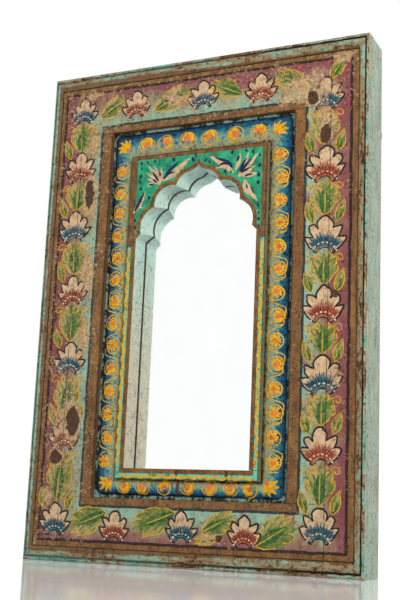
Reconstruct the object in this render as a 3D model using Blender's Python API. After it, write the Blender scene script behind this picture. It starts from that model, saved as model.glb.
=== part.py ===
"""Painted arch mirror: a deep moulded casing round a planked border, a half-round moulding and a
cusped arch panel set in its window, a mirror behind the arch and two ring hangers on the back.

Units are metres. X runs to the right, Y into the wall and Z up. The origin is the middle of the
underside. Depths are counted from the plane of the arch panel's face towards the wall.
"""

import math
from collections import namedtuple

import bmesh
import bpy
from mathutils import Matrix, Vector

Rect = namedtuple("Rect", "left right bottom top")

# Whole piece
CASE_WIDTH = 0.4144
CASE_HEIGHT = 0.600
CASE_DEPTH = 0.056
SEAM = 0.0003
OVERRUN = 0.002

# Casing boards and their moulded front edge
CASING_SIDE_WIDTH = 0.0115
CASING_END_WIDTH = 0.017
CASING_CREST_DEPTH = 0.0003
BEAD_DEPTH = 0.0011
BEAD_RADIUS = 0.0028
QUIRK_CUT = 0.0012
BEAD_STEPS = 4
THUMB_STEPS = 7
BEAD_END_SHARE = 0.24
QUIRK_SHARES = (0.27, 0.35)
CREST_SHARE = 0.46

# Border planks
OUTER_STILE_WIDTH = 0.0327
INNER_STILE_WIDTH = 0.043
TOP_RAIL_HEIGHT = 0.0638
BOTTOM_RAIL_HEIGHT = 0.0574
PLANK_FACE_DEPTH = 0.0037
PLANK_THICKNESS = 0.014
PLANK_ARRIS = 0.0005

# Window moulding: a half-round cushion in a shallow groove
GROOVE_DEPTH = 0.0058
GROOVE_SIDE_WIDTH = 0.004
GROOVE_TOP_WIDTH = 0.004
GROOVE_BOTTOM_WIDTH = 0.002
CUSHION_SIDE_WIDTH = 0.0268
CUSHION_TOP_WIDTH = 0.0316
CUSHION_BOTTOM_WIDTH = 0.0196
CUSHION_HEIGHT = 0.0052
CUSHION_EDGE = 0.0008
CUSHION_CORNER_RADIUS = 0.008
CUSHION_JOINT_SHARES = (-0.069, 0.457)
CUSHION_STEPS = 12
CUSHION_FULLNESS = 0.7
CORNER_STEPS = 6

# Arch panel
PANEL_THICKNESS = 0.026
JAMB_WIDTH = 0.0113
SILL_HEIGHT = 0.0122
CROWN_HEIGHT = 0.019
ARCH_RISE = 0.0864
ARCH_OFF_CENTRE = 0.0015
LOBE_STEPS = 9
SILL_JOINT_SHARES = (-0.112, 0.574)
# Corners of half the arch from its foot to its point: across as a share of half the opening, up as
# a share of the rise, then how far the curve to the next corner bulges, as a share of its chord.
ARCH_FRONT_SHARES = (
    (1.000, 0.017, 0.0),
    (0.923, 0.087, 0.205),
    (0.709, 0.456, 0.264),
    (0.361, 0.743, 0.155),
    (0.116, 0.929, -0.05),
    (0.000, 1.000, 0.0),
)
# The hand-cut reveal closes in a little on its way to the mirror.
ARCH_BACK_SHARES = (
    (1.000, 0.035, 0.0),
    (0.862, 0.125, 0.200),
    (0.645, 0.510, 0.262),
    (0.300, 0.742, 0.160),
    (0.098, 0.920, -0.05),
    (0.000, 0.992, 0.0),
)

# Mirror and what holds it
MIRROR_THICKNESS = 0.003
MIRROR_SIDE_CLEARANCE = 0.003
MIRROR_TOP_CLEARANCE = 0.006
BACKING_THICKNESS = 0.003
BACKING_LAP = 0.012
LINER_LAP = 0.018
BATTEN_THICKNESS = 0.016
BATTEN_END_WIDTH = 0.026
BATTEN_LAP = 0.005
BACK_PANEL_THICKNESS = 0.0035
BACK_PANEL_INSET = 0.0005

# Fasteners: tacks, nails and screws
TACK_SHANK_RADIUS = 0.0007
TACK_HEAD_RADIUS = 0.0019
TACK_HEAD_HEIGHT = 0.0007
TACK_LENGTH = 0.009
NAIL_SHANK_RADIUS = 0.0009
NAIL_HEAD_RADIUS = 0.0024
NAIL_HEAD_HEIGHT = 0.0009
NAIL_LENGTH = 0.018
SCREW_SHANK_RADIUS = 0.0013
SCREW_HEAD_RADIUS = 0.0026
SCREW_HEAD_HEIGHT = 0.0018
SCREW_LENGTH = 0.017
TIP_SHARE = 0.2
HEAD_CROWN_SHARE = 0.62
FASTENER_SIDES = 8
TACK_SIDE_SHARES = (0.22, 0.78)
TACK_END_SHARES = (0.5,)
NAIL_SIDE_SHARES = (0.1, 0.5, 0.9)
NAIL_END_SHARES = (0.25, 0.75)

# Ring hangers
HANGER_INSET = 0.0075
HANGER_DROP = 0.100
PLATE_WIDTH = 0.0085
PLATE_LENGTH = 0.034
PLATE_THICKNESS = 0.0012
SCREW_PLACES = (0.018, 0.029)
RING_WIRE_RADIUS = 0.001
RING_OPENING_WIDTH = 0.010
RING_REACH = 0.011
RING_CORNER_RADIUS = 0.0014
KNUCKLE_CLEARANCE = 0.0002
KNUCKLE_STEPS = 12
KNUCKLE_GAP_ANGLE = math.radians(40)
RING_BOW_STEPS = 12
RING_CORNER_STEPS = 3

# Planes worked out from the sizes above
PLANK_BACK_DEPTH = PLANK_FACE_DEPTH + PLANK_THICKNESS
GROOVE_BASE_DEPTH = PLANK_FACE_DEPTH + GROOVE_DEPTH
CUSHION_BACK_DEPTH = GROOVE_BASE_DEPTH - SEAM
FRAMING_DEPTH = PLANK_BACK_DEPTH + SEAM
MIRROR_FACE_DEPTH = PANEL_THICKNESS + SEAM
LINER_BACK_DEPTH = MIRROR_FACE_DEPTH + MIRROR_THICKNESS
BACKING_FACE_DEPTH = LINER_BACK_DEPTH + SEAM
BACKING_BACK_DEPTH = BACKING_FACE_DEPTH + BACKING_THICKNESS
BACK_PANEL_FACE_DEPTH = CASE_DEPTH - BACK_PANEL_THICKNESS
CASING_BACK_DEPTH = BACK_PANEL_FACE_DEPTH - SEAM
PLATE_SEAT_DEPTH = CASE_DEPTH + SEAM
KNUCKLE_BORE_RADIUS = RING_WIRE_RADIUS + KNUCKLE_CLEARANCE
KNUCKLE_RADIUS = KNUCKLE_BORE_RADIUS + PLATE_THICKNESS
RING_AXIS_DEPTH = PLATE_SEAT_DEPTH + KNUCKLE_RADIUS
RING_AXIS_HEIGHT = CASE_HEIGHT - HANGER_DROP
HANGER_X = CASE_WIDTH / 2 - HANGER_INSET


def inset(rect, sides, bottom=None, top=None):
    """A rectangle drawn in by its sides' distance, and by its ends' where they differ."""
    bottom = sides if bottom is None else bottom
    top = sides if top is None else top
    return Rect(rect.left + sides, rect.right - sides, rect.bottom + bottom, rect.top - top)


CASE = Rect(-CASE_WIDTH / 2, CASE_WIDTH / 2, 0, CASE_HEIGHT)
BORDER = inset(CASE, CASING_SIDE_WIDTH, CASING_END_WIDTH, CASING_END_WIDTH)
WINDOW = inset(BORDER, OUTER_STILE_WIDTH + INNER_STILE_WIDTH, BOTTOM_RAIL_HEIGHT, TOP_RAIL_HEIGHT)
CUSHION = inset(WINDOW, GROOVE_SIDE_WIDTH, GROOVE_BOTTOM_WIDTH, GROOVE_TOP_WIDTH)
PANEL_BED = inset(CUSHION, CUSHION_SIDE_WIDTH, CUSHION_BOTTOM_WIDTH, CUSHION_TOP_WIDTH)
PANEL = inset(PANEL_BED, SEAM)
SPRING_HEIGHT = PANEL.top - CROWN_HEIGHT - ARCH_RISE
OPENING = Rect(PANEL.left + JAMB_WIDTH, PANEL.right - JAMB_WIDTH, PANEL.bottom + SILL_HEIGHT, SPRING_HEIGHT)


def depth_to_y(depth):
    """Y of a plane at this depth behind the arch panel's face."""
    return depth - CASE_DEPTH / 2


def finish(name, colour, roughness, metallic=0.0):
    """A plain material in the piece's own colour."""
    made = bpy.data.materials.new(name)
    made.use_nodes = True
    shader = made.node_tree.nodes["Principled BSDF"]
    shader.inputs["Base Color"].default_value = (*colour, 1.0)
    shader.inputs["Roughness"].default_value = roughness
    shader.inputs["Metallic"].default_value = metallic
    return made


def add_object(name, bm, made_of, location=(0, 0, 0), smooth=False):
    """The named object that a finished bmesh becomes."""
    bmesh.ops.recalc_face_normals(bm, faces=bm.faces)
    mesh = bpy.data.meshes.new(name)
    bm.to_mesh(mesh)
    bm.free()
    if smooth:
        mesh.shade_smooth()
        mesh.set_sharp_from_angle(angle=math.radians(40))
    obj = bpy.data.objects.new(name, mesh)
    obj.location = location
    if made_of is not None:
        mesh.materials.append(made_of)
    bpy.context.scene.collection.objects.link(obj)
    return obj


def block_mesh(bm, rect, front, back, middle):
    """A box over rect between two depths, its corners counted from middle."""
    size = (rect.right - rect.left, back - front, rect.top - rect.bottom)
    centre = Vector(block_middle(rect, front, back)) - Vector(middle)
    bmesh.ops.create_cube(bm, size=1, matrix=Matrix.Translation(centre) @ Matrix.Diagonal((*size, 1)))


def block_middle(rect, front, back):
    """Centre of a box over rect between two depths."""
    across = (rect.left + rect.right) / 2
    up = (rect.bottom + rect.top) / 2
    return across, depth_to_y((front + back) / 2), up


def block(name, rect, front, back, made_of, arris=0):
    """A board with, where arris is given, its edges taken off."""
    bm = bmesh.new()
    middle = block_middle(rect, front, back)
    block_mesh(bm, rect, front, back, middle)
    obj = add_object(name, bm, made_of, middle)
    if arris:
        bevel = obj.modifiers.new("arris", "BEVEL")
        bevel.width = arris
        bevel.segments = 1
    return obj


def loft_mesh(bm, front_outline, back_outline, front, back):
    """A solid between an outline of (x, z) points at one depth and another, point for point, behind it."""
    rings = [
        [bm.verts.new((x, depth_to_y(depth), z)) for x, z in outline]
        for outline, depth in ((front_outline, front), (back_outline, back))
    ]
    for ring in rings:
        bm.faces.new(ring)
    bmesh.ops.bridge_loops(bm, edges=list(bm.edges))


def hide_as_cutter(obj):
    """A shape that only cuts others is kept out of sight."""
    obj.hide_render = True
    obj.display_type = "WIRE"


def add_boolean(target, tool, operation):
    """Cuts, trims or joins the target with another object."""
    boolean = target.modifiers.new(operation.lower(), "BOOLEAN")
    boolean.operation = operation
    boolean.object = tool


def bar_place(outer, inner, side, share):
    """Where a bar's section point lies across the side, and where its run starts and ends."""
    edge = Rect(*(far + (near - far) * share for far, near in zip(outer, inner)))
    if side in ("left", "right"):
        return getattr(edge, side), edge.bottom, edge.top
    return getattr(edge, side), edge.left, edge.right


def mitred_bar(name, outer, inner, side, section, made_of, start=None, stop=None):
    """One side of a moulded frame between two rectangles.

    The section is a list of (share, depth): share 0 lies on the outer rectangle and 1 on the
    inner. The ends are mitred on the line between the rectangles' corners, or cut square at
    start or stop.
    """
    upright = side in ("left", "right")
    run_axis, across_axis = (2, 0) if upright else (0, 2)
    bm = bmesh.new()
    section_points = []
    for share, depth in section:
        point = Vector((0, depth_to_y(depth), 0))
        point[across_axis] = bar_place(outer, inner, side, share)[0]
        section_points.append(bm.verts.new(point))
    near = set(section_points)
    bmesh.ops.extrude_face_region(bm, geom=[bm.faces.new(section_points)], use_keep_orig=True)
    outer_line = bar_place(outer, inner, side, 0)[0]
    inner_line = bar_place(outer, inner, side, 1)[0]
    for vertex in bm.verts:
        share = (vertex.co[across_axis] - outer_line) / (inner_line - outer_line)
        _, low, high = bar_place(outer, inner, side, share)
        low = low + SEAM / 2 if start is None else start
        high = high - SEAM / 2 if stop is None else stop
        vertex.co[run_axis] = low if vertex in near else high
    return add_object(name, bm, made_of, smooth=True)


def casing_section():
    """Section of a casing board: flat outside, round bead, quirk, and a thumb that falls to the planks."""
    points = [(0, CASING_BACK_DEPTH)]
    for step in range(BEAD_STEPS + 1):
        angle = math.pi / 2 * step / BEAD_STEPS
        share = BEAD_END_SHARE * (1 - math.cos(angle))
        points.append((share, BEAD_DEPTH + BEAD_RADIUS * (1 - math.sin(angle))))
    quirk_start, quirk_end = QUIRK_SHARES
    quirk_bottom = BEAD_DEPTH + QUIRK_CUT
    points += [(quirk_start, quirk_bottom), (quirk_end, quirk_bottom), (quirk_end, BEAD_DEPTH)]
    fall = PLANK_FACE_DEPTH - CASING_CREST_DEPTH
    for step in range(THUMB_STEPS + 1):
        turn = step / THUMB_STEPS
        share = CREST_SHARE + (1 - CREST_SHARE) * math.sin(math.pi / 2 * turn)
        points.append((share, CASING_CREST_DEPTH + fall * (1 - math.cos(math.pi / 2 * turn))))
    points.append((1, CASING_BACK_DEPTH))
    return points


def cushion_section():
    """Section of the half-round moulding, between two low upright edges."""
    edge_depth = CUSHION_BACK_DEPTH - CUSHION_EDGE
    rise = CUSHION_HEIGHT - CUSHION_EDGE
    points = [(0, CUSHION_BACK_DEPTH)]
    for step in range(CUSHION_STEPS + 1):
        share = (1 - math.cos(math.pi * step / CUSHION_STEPS)) / 2
        swell = math.sin(math.pi * share) ** CUSHION_FULLNESS if 0 < step < CUSHION_STEPS else 0
        points.append((share, edge_depth - rise * swell))
    points.append((1, CUSHION_BACK_DEPTH))
    return points


def rounded_outline(rect, radius):
    """Outline of a rectangle with round corners."""
    corners = (
        (rect.right - radius, rect.top - radius, 0),
        (rect.left + radius, rect.top - radius, 1),
        (rect.left + radius, rect.bottom + radius, 2),
        (rect.right - radius, rect.bottom + radius, 3),
    )
    points = []
    for x, z, quarter in corners:
        for step in range(CORNER_STEPS + 1):
            angle = math.pi / 2 * (quarter + step / CORNER_STEPS)
            points.append((x + radius * math.cos(angle), z + radius * math.sin(angle)))
    return points


def bulged_run(start, end, bulge_share, steps):
    """Points along a circular arc from start up to, but not including, end."""
    start, end = Vector(start), Vector(end)
    chord = end - start
    if not bulge_share:
        return [start]
    outward = Vector((chord.y, -chord.x)) * bulge_share
    radius = chord.length * (0.25 + bulge_share**2) / (2 * abs(bulge_share))
    centre = (start + end) / 2 + outward - outward.normalized() * radius
    first = start - centre
    turn = first.angle_signed(end - centre)
    return [centre + Matrix.Rotation(-turn * step / steps, 2) @ first for step in range(steps)]


def half_arch(shares, side):
    """Half the cusped arch from its foot to its point, as (x, z), on the side -1 or 1."""
    half_opening = (OPENING.right - OPENING.left) / 2
    corners = [(half_opening * across, SPRING_HEIGHT + ARCH_RISE * up) for across, up, _ in shares]
    points = []
    for index, (_, _, bulge_share) in enumerate(shares[:-1]):
        points += bulged_run(corners[index], corners[index + 1], bulge_share, LOBE_STEPS)
    points.append(Vector(corners[-1]))
    return [(side * x + ARCH_OFF_CENTRE * (1 - x / half_opening), z) for x, z in points]


def head_outline(shares):
    """Outline of the panel's head, from the right foot of its arch over the point and back round."""
    low = SPRING_HEIGHT + SEAM / 2
    return [
        (OPENING.right, low),
        *half_arch(shares, 1)[:-1],
        *half_arch(shares, -1)[::-1],
        (OPENING.left, low),
        (PANEL.left, low),
        (PANEL.left, PANEL.top),
        (PANEL.right, PANEL.top),
        (PANEL.right, low),
    ]


def turned_mesh(bm, profile, place, sides):
    """A solid turned about the Y axis through place from (radius, y) points that start and end on it."""
    vertices = [bm.verts.new((place[0] + radius, place[1] + y, place[2])) for radius, y in profile]
    edges = [bm.edges.new(pair) for pair in zip(vertices, vertices[1:])]
    bmesh.ops.spin(bm, geom=vertices + edges, cent=place, axis=(0, 1, 0), angle=math.tau, steps=sides)
    bmesh.ops.remove_doubles(bm, verts=bm.verts, dist=SEAM / 100)


def fastener_profile(shank_radius, head_radius, head_height, length):
    """Profile of a pointed shank under a low domed head, the head's underside at zero."""
    return [
        (0, -length),
        (shank_radius, -length * (1 - TIP_SHARE)),
        (shank_radius, 0),
        (head_radius, 0),
        (head_radius, head_height * (1 - HEAD_CROWN_SHARE)),
        (head_radius * HEAD_CROWN_SHARE, head_height),
        (0, head_height),
    ]


def fasteners(name, places, profile, made_of):
    """One object for each of a set of alike fasteners, all driven from the back."""
    bm = bmesh.new()
    turned_mesh(bm, profile, (0, 0, 0), FASTENER_SIDES)
    first = add_object(name + "_1", bm, made_of, places[0], smooth=True)
    for number, place in enumerate(places[1:], start=2):
        copy = bpy.data.objects.new(name + "_" + str(number), first.data)
        copy.location = place
        bpy.context.scene.collection.objects.link(copy)


def drill(name, places, profile):
    """The hidden object that drills the fasteners' holes."""
    shank_radius = profile[1][0]
    length = -profile[0][1]
    hole_radius = shank_radius + SEAM
    hole = [(0, -length - SEAM), (hole_radius, -length * (1 - TIP_SHARE)), (hole_radius, OVERRUN), (0, OVERRUN)]
    bm = bmesh.new()
    for place in places:
        turned_mesh(bm, hole, place, FASTENER_SIDES)
    tool = add_object(name, bm, None)
    hide_as_cutter(tool)
    return tool


def build_casing(made_of):
    """Four mitred boards on edge."""
    section = casing_section()
    return {
        side: mitred_bar("casing_" + side, CASE, BORDER, side, section, made_of)
        for side in ("left", "right", "top", "bottom")
    }


def build_border(made_of):
    """Six planks: two outer stiles, and two rails with two inner stiles between them."""
    bed = inset(BORDER, SEAM)
    joint = BORDER.right - OUTER_STILE_WIDTH
    half_seam = SEAM / 2
    planks = {
        "outer_stile_left": Rect(bed.left, -joint - half_seam, bed.bottom, bed.top),
        "outer_stile_right": Rect(joint + half_seam, bed.right, bed.bottom, bed.top),
        "rail_top": Rect(-joint + half_seam, joint - half_seam, WINDOW.top + half_seam, bed.top),
        "rail_bottom": Rect(-joint + half_seam, joint - half_seam, bed.bottom, WINDOW.bottom - half_seam),
        "inner_stile_left": Rect(
            -joint + half_seam, WINDOW.left, WINDOW.bottom + half_seam, WINDOW.top - half_seam
        ),
        "inner_stile_right": Rect(
            WINDOW.right, joint - half_seam, WINDOW.bottom + half_seam, WINDOW.top - half_seam
        ),
    }
    for name, rect in planks.items():
        block(name, rect, PLANK_FACE_DEPTH, PLANK_BACK_DEPTH, made_of, PLANK_ARRIS)


def build_battens(made_of):
    """Inner strips glued to the casing and to the backs of the planks."""
    bed = inset(BORDER, SEAM)
    inner_edge = BORDER.right - OUTER_STILE_WIDTH - BATTEN_LAP
    back = FRAMING_DEPTH + BATTEN_THICKNESS
    reach = inner_edge - SEAM
    strips = {
        "batten_left": Rect(bed.left, -inner_edge, bed.bottom, bed.top),
        "batten_right": Rect(inner_edge, bed.right, bed.bottom, bed.top),
        "batten_top": Rect(-reach, reach, bed.top - BATTEN_END_WIDTH, bed.top),
        "batten_bottom": Rect(-reach, reach, bed.bottom, bed.bottom + BATTEN_END_WIDTH),
    }
    for name, rect in strips.items():
        block(name, rect, FRAMING_DEPTH, back, made_of)


def rebated_liner(name, fillet, lip, made_of):
    """A strip with a deep fillet in the window and a wider lip behind the planks."""
    bm = bmesh.new()
    block_mesh(bm, lip, FRAMING_DEPTH, LINER_BACK_DEPTH, (0, 0, 0))
    strip = add_object(name, bm, made_of)
    extra = bmesh.new()
    block_mesh(extra, fillet, GROOVE_BASE_DEPTH, FRAMING_DEPTH + OVERRUN, (0, 0, 0))
    tool = add_object(name + "_fillet", extra, None)
    hide_as_cutter(tool)
    add_boolean(strip, tool, "UNION")
    return strip


def build_liners(made_of):
    """Four rebated strips round the arch panel: level ones right across, upright ones between."""
    lap = inset(WINDOW, -LINER_LAP)
    fill = inset(WINDOW, SEAM)
    low, high = PANEL_BED.bottom, PANEL_BED.top
    parts = {
        "liner_top": (fill._replace(bottom=high), lap._replace(bottom=high)),
        "liner_bottom": (fill._replace(top=low), lap._replace(top=low)),
    }
    upright = {"bottom": low + SEAM, "top": high - SEAM}
    for side, line in (("left", "right"), ("right", "left")):
        edge = {line: getattr(PANEL_BED, side)}
        parts["liner_" + side] = (
            fill._replace(**edge, **upright),
            lap._replace(**edge, **upright),
        )
    return [rebated_liner(name, *rects, made_of) for name, rects in parts.items()]


def build_cushion(made_of):
    """The half-round moulding: one length a side, and three along the bottom."""
    inner = PANEL_BED
    section = cushion_section()
    left_cut, right_cut = (CUSHION.right * share for share in CUSHION_JOINT_SHARES)
    half_seam = SEAM / 2
    bars = {
        "cushion_left": ("left", None, None),
        "cushion_right": ("right", None, None),
        "cushion_top": ("top", None, None),
        "cushion_bottom_left": ("bottom", None, left_cut - half_seam),
        "cushion_bottom_centre": ("bottom", left_cut + half_seam, right_cut - half_seam),
        "cushion_bottom_right": ("bottom", right_cut + half_seam, None),
    }
    trim = bmesh.new()
    outline = rounded_outline(CUSHION, CUSHION_CORNER_RADIUS)
    front = CUSHION_BACK_DEPTH - CUSHION_HEIGHT - OVERRUN
    loft_mesh(trim, outline, outline, front, CUSHION_BACK_DEPTH + OVERRUN)
    tool = add_object("cushion_corners", trim, None)
    hide_as_cutter(tool)
    for name, (side, start, stop) in bars.items():
        bar = mitred_bar(name, CUSHION, inner, side, section, made_of, start, stop)
        if start is None or stop is None:
            add_boolean(bar, tool, "INTERSECT")


def build_arch_panel(made_of):
    """The head with its cusped arch, two jambs and a sill in three lengths."""
    bm = bmesh.new()
    loft_mesh(bm, head_outline(ARCH_FRONT_SHARES), head_outline(ARCH_BACK_SHARES), 0, PANEL_THICKNESS)
    add_object("arch_head", bm, made_of, smooth=True)
    jamb_low = OPENING.bottom + SEAM / 2
    jamb_high = SPRING_HEIGHT - SEAM / 2
    left_cut, right_cut = (PANEL.right * share for share in SILL_JOINT_SHARES)
    sill_high = OPENING.bottom - SEAM / 2
    half_seam = SEAM / 2
    pieces = {
        "jamb_left": Rect(PANEL.left, OPENING.left, jamb_low, jamb_high),
        "jamb_right": Rect(OPENING.right, PANEL.right, jamb_low, jamb_high),
        "sill_left": Rect(PANEL.left, left_cut - half_seam, PANEL.bottom, sill_high),
        "sill_centre": Rect(left_cut + half_seam, right_cut - half_seam, PANEL.bottom, sill_high),
        "sill_right": Rect(right_cut + half_seam, PANEL.right, PANEL.bottom, sill_high),
    }
    for name, rect in pieces.items():
        block(name, rect, 0, PANEL_THICKNESS, made_of)


def build_mirror(glass, board):
    """The mirror on the liner's foot, and the hardboard over its back."""
    plate = inset(PANEL_BED, MIRROR_SIDE_CLEARANCE, SEAM, MIRROR_TOP_CLEARANCE)
    block("mirror_glass", plate, MIRROR_FACE_DEPTH, LINER_BACK_DEPTH, glass)
    cover = inset(PANEL_BED, -BACKING_LAP)
    return block("mirror_backing", cover, BACKING_FACE_DEPTH, BACKING_BACK_DEPTH, board)


def tack_places():
    """Places of the tacks round the backing, in the middle of its lap on the liners."""
    line = inset(PANEL_BED, -BACKING_LAP / 2)
    y = depth_to_y(BACKING_BACK_DEPTH + SEAM)
    sides = [(x, y, line.bottom + (line.top - line.bottom) * share)
             for x in (line.left, line.right) for share in TACK_SIDE_SHARES]
    ends = [(line.left + (line.right - line.left) * share, y, z)
            for z in (line.bottom, line.top) for share in TACK_END_SHARES]
    return sides + ends


def nail_places():
    """Places of the nails round the back panel, in the middle of the casing boards."""
    line = inset(CASE, CASING_SIDE_WIDTH / 2, CASING_END_WIDTH / 2, CASING_END_WIDTH / 2)
    y = depth_to_y(CASE_DEPTH + SEAM)
    sides = [(x, y, line.bottom + (line.top - line.bottom) * share)
             for x in (line.left, line.right) for share in NAIL_SIDE_SHARES]
    ends = [(line.left + (line.right - line.left) * share, y, z)
            for z in (line.bottom, line.top) for share in NAIL_END_SHARES]
    return sides + ends


def screw_places():
    """Places of the hanger screws, two to a plate."""
    y = depth_to_y(PLATE_SEAT_DEPTH + PLATE_THICKNESS + SEAM)
    return [(side * HANGER_X, y, RING_AXIS_HEIGHT - drop) for side in (-1, 1) for drop in SCREW_PLACES]


def build_back(made_of):
    """The plywood over the back of the casing."""
    return block("back_panel", inset(CASE, BACK_PANEL_INSET), BACK_PANEL_FACE_DEPTH, CASE_DEPTH, made_of)


def plate_outline():
    """Side view of a hanger plate as (y, z): a flat strip whose top is rolled round the ring."""
    axis_y = depth_to_y(RING_AXIS_DEPTH)
    seat_y = depth_to_y(PLATE_SEAT_DEPTH)
    foot_z = RING_AXIS_HEIGHT - PLATE_LENGTH
    sweep = math.tau - KNUCKLE_GAP_ANGLE - math.pi / 2
    outer = []
    inner = []
    for step in range(KNUCKLE_STEPS + 1):
        angle = math.pi - sweep * step / KNUCKLE_STEPS
        across, up = math.cos(angle), math.sin(angle)
        outer.append((axis_y + KNUCKLE_RADIUS * across, RING_AXIS_HEIGHT + KNUCKLE_RADIUS * up))
        inner.append((axis_y + KNUCKLE_BORE_RADIUS * across, RING_AXIS_HEIGHT + KNUCKLE_BORE_RADIUS * up))
    return [(seat_y, foot_z), *outer, *inner[::-1], (seat_y + PLATE_THICKNESS, foot_z)]


def hanger_plate(name, x, made_of):
    """One hanger plate, its outline run across its width."""
    bm = bmesh.new()
    left = x - PLATE_WIDTH / 2
    face = bm.faces.new([bm.verts.new((left, y, z)) for y, z in plate_outline()])
    made = bmesh.ops.extrude_face_region(bm, geom=[face], use_keep_orig=True)
    far = [item for item in made["geom"] if isinstance(item, bmesh.types.BMVert)]
    bmesh.ops.translate(bm, verts=far, vec=(PLATE_WIDTH, 0, 0))
    return add_object(name, bm, made_of, smooth=True)


def ring_path():
    """Centre line of a ring as (x, z) from its axis: a bar along the axis and a round bow below."""
    half = RING_OPENING_WIDTH / 2 + RING_WIRE_RADIUS
    corner = half - RING_CORNER_RADIUS
    points = []
    for step in range(RING_CORNER_STEPS + 1):
        angle = math.pi / 2 * (1 - step / RING_CORNER_STEPS)
        points.append(
            (corner + RING_CORNER_RADIUS * math.cos(angle), RING_CORNER_RADIUS * (math.sin(angle) - 1))
        )
    bow_drop = RING_REACH - half
    for step in range(RING_BOW_STEPS + 1):
        angle = -math.pi * step / RING_BOW_STEPS
        points.append((half * math.cos(angle), -bow_drop + half * math.sin(angle)))
    points += [(-x, z) for x, z in points[RING_CORNER_STEPS::-1]]
    return points


def hanger_ring(name, x, made_of):
    """One ring of round wire, its origin on the axis that it swings about."""
    curve = bpy.data.curves.new(name, "CURVE")
    curve.dimensions = "3D"
    curve.bevel_depth = RING_WIRE_RADIUS
    curve.bevel_resolution = 2
    path = ring_path()
    spline = curve.splines.new("POLY")
    spline.points.add(len(path) - 1)
    for point, (across, up) in zip(spline.points, path):
        point.co = (across, 0, up, 1)
    spline.use_cyclic_u = True
    curve.materials.append(made_of)
    ring = bpy.data.objects.new(name, curve)
    ring.location = (x, depth_to_y(RING_AXIS_DEPTH), RING_AXIS_HEIGHT)
    bpy.context.scene.collection.objects.link(ring)
    return ring


def main():
    """Builds every piece, then drills the pieces that fasteners pass through."""
    for obj in list(bpy.data.objects):
        bpy.data.objects.remove(obj)
    casing_paint = finish("casing_paint", (0.36, 0.52, 0.44), 0.6)
    border_paint = finish("border_paint", (0.42, 0.28, 0.20), 0.62)
    cushion_paint = finish("cushion_paint", (0.06, 0.22, 0.30), 0.45)
    arch_paint = finish("arch_paint", (0.12, 0.46, 0.30), 0.55)
    bare_wood = finish("bare_wood", (0.36, 0.24, 0.14), 0.75)
    board = finish("backing_board", (0.24, 0.15, 0.09), 0.8)
    plywood = finish("plywood", (0.46, 0.33, 0.20), 0.72)
    glass = finish("mirror_silver", (0.92, 0.94, 0.93), 0.03, 1.0)
    steel = finish("zinc_steel", (0.62, 0.62, 0.60), 0.35, 1.0)

    casing = build_casing(casing_paint)
    build_border(border_paint)
    build_battens(bare_wood)
    liners = build_liners(bare_wood)
    build_cushion(cushion_paint)
    build_arch_panel(arch_paint)
    backing = build_mirror(glass, board)
    back_panel = build_back(plywood)

    tack = fastener_profile(TACK_SHANK_RADIUS, TACK_HEAD_RADIUS, TACK_HEAD_HEIGHT, TACK_LENGTH)
    nail = fastener_profile(NAIL_SHANK_RADIUS, NAIL_HEAD_RADIUS, NAIL_HEAD_HEIGHT, NAIL_LENGTH)
    screw = fastener_profile(SCREW_SHANK_RADIUS, SCREW_HEAD_RADIUS, SCREW_HEAD_HEIGHT, SCREW_LENGTH)
    fasteners("backing_tack", tack_places(), tack, steel)
    fasteners("back_panel_nail", nail_places(), nail, steel)
    fasteners("hanger_screw", screw_places(), screw, steel)
    tack_holes = drill("tack_holes", tack_places(), tack)
    nail_holes = drill("nail_holes", nail_places(), nail)
    screw_holes = drill("screw_holes", screw_places(), screw)
    for piece in (backing, *liners):
        add_boolean(piece, tack_holes, "DIFFERENCE")
    for piece in (back_panel, *casing.values()):
        add_boolean(piece, nail_holes, "DIFFERENCE")

    drilled = [back_panel, casing["left"], casing["right"]]
    for side, x in (("left", -HANGER_X), ("right", HANGER_X)):
        drilled.append(hanger_plate("hanger_plate_" + side, x, steel))
        hanger_ring("hanger_ring_" + side, x, steel)
    for piece in drilled:
        add_boolean(piece, screw_holes, "DIFFERENCE")


main()
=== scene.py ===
"""Looks of the painted arch mirror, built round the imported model.

A moulded casing, a planked border with hand-painted lotus flowers and leaves, a half-round blue
moulding with yellow scrolls, a cusped arch panel, an old mirror, and the raw wood behind. Units are
metres: X to the right, Y into the wall, Z up. The painting is real, thin paint: each stroke is a
piece of mesh laid on the wood under it.
"""

import logging
import random
from dataclasses import dataclass, field
from enum import Enum
from math import atan2, cos, degrees, pi, radians, sin, sqrt, tau
from typing import ClassVar, Iterable, Sequence

import bmesh
import bpy
from bmesh.types import BMEdge, BMesh, BMVert
from bpy.types import Material, Node, NodeSocket, NodeTree, Object
from mathutils import Matrix, Vector, noise
from mathutils.bvhtree import BVHTree


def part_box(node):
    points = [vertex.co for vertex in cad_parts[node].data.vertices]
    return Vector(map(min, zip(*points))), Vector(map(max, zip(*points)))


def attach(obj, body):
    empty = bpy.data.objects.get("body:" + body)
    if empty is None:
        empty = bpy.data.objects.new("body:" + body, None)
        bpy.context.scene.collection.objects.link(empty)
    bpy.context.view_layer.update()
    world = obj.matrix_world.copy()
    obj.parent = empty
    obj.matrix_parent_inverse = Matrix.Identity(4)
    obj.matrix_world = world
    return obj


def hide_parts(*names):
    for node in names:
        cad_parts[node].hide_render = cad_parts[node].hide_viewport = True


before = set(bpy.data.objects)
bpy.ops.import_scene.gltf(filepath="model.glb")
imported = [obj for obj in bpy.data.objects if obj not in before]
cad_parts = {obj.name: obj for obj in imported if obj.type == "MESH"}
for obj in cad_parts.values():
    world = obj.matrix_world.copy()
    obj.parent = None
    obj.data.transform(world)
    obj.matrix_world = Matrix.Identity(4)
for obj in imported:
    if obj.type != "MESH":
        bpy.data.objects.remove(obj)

LOG = logging.getLogger("arch_mirror")
MM = 0.001
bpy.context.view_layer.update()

Point = tuple[float, float]
Triple = tuple[float, float, float]
Colour = tuple[int, int, int]
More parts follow.
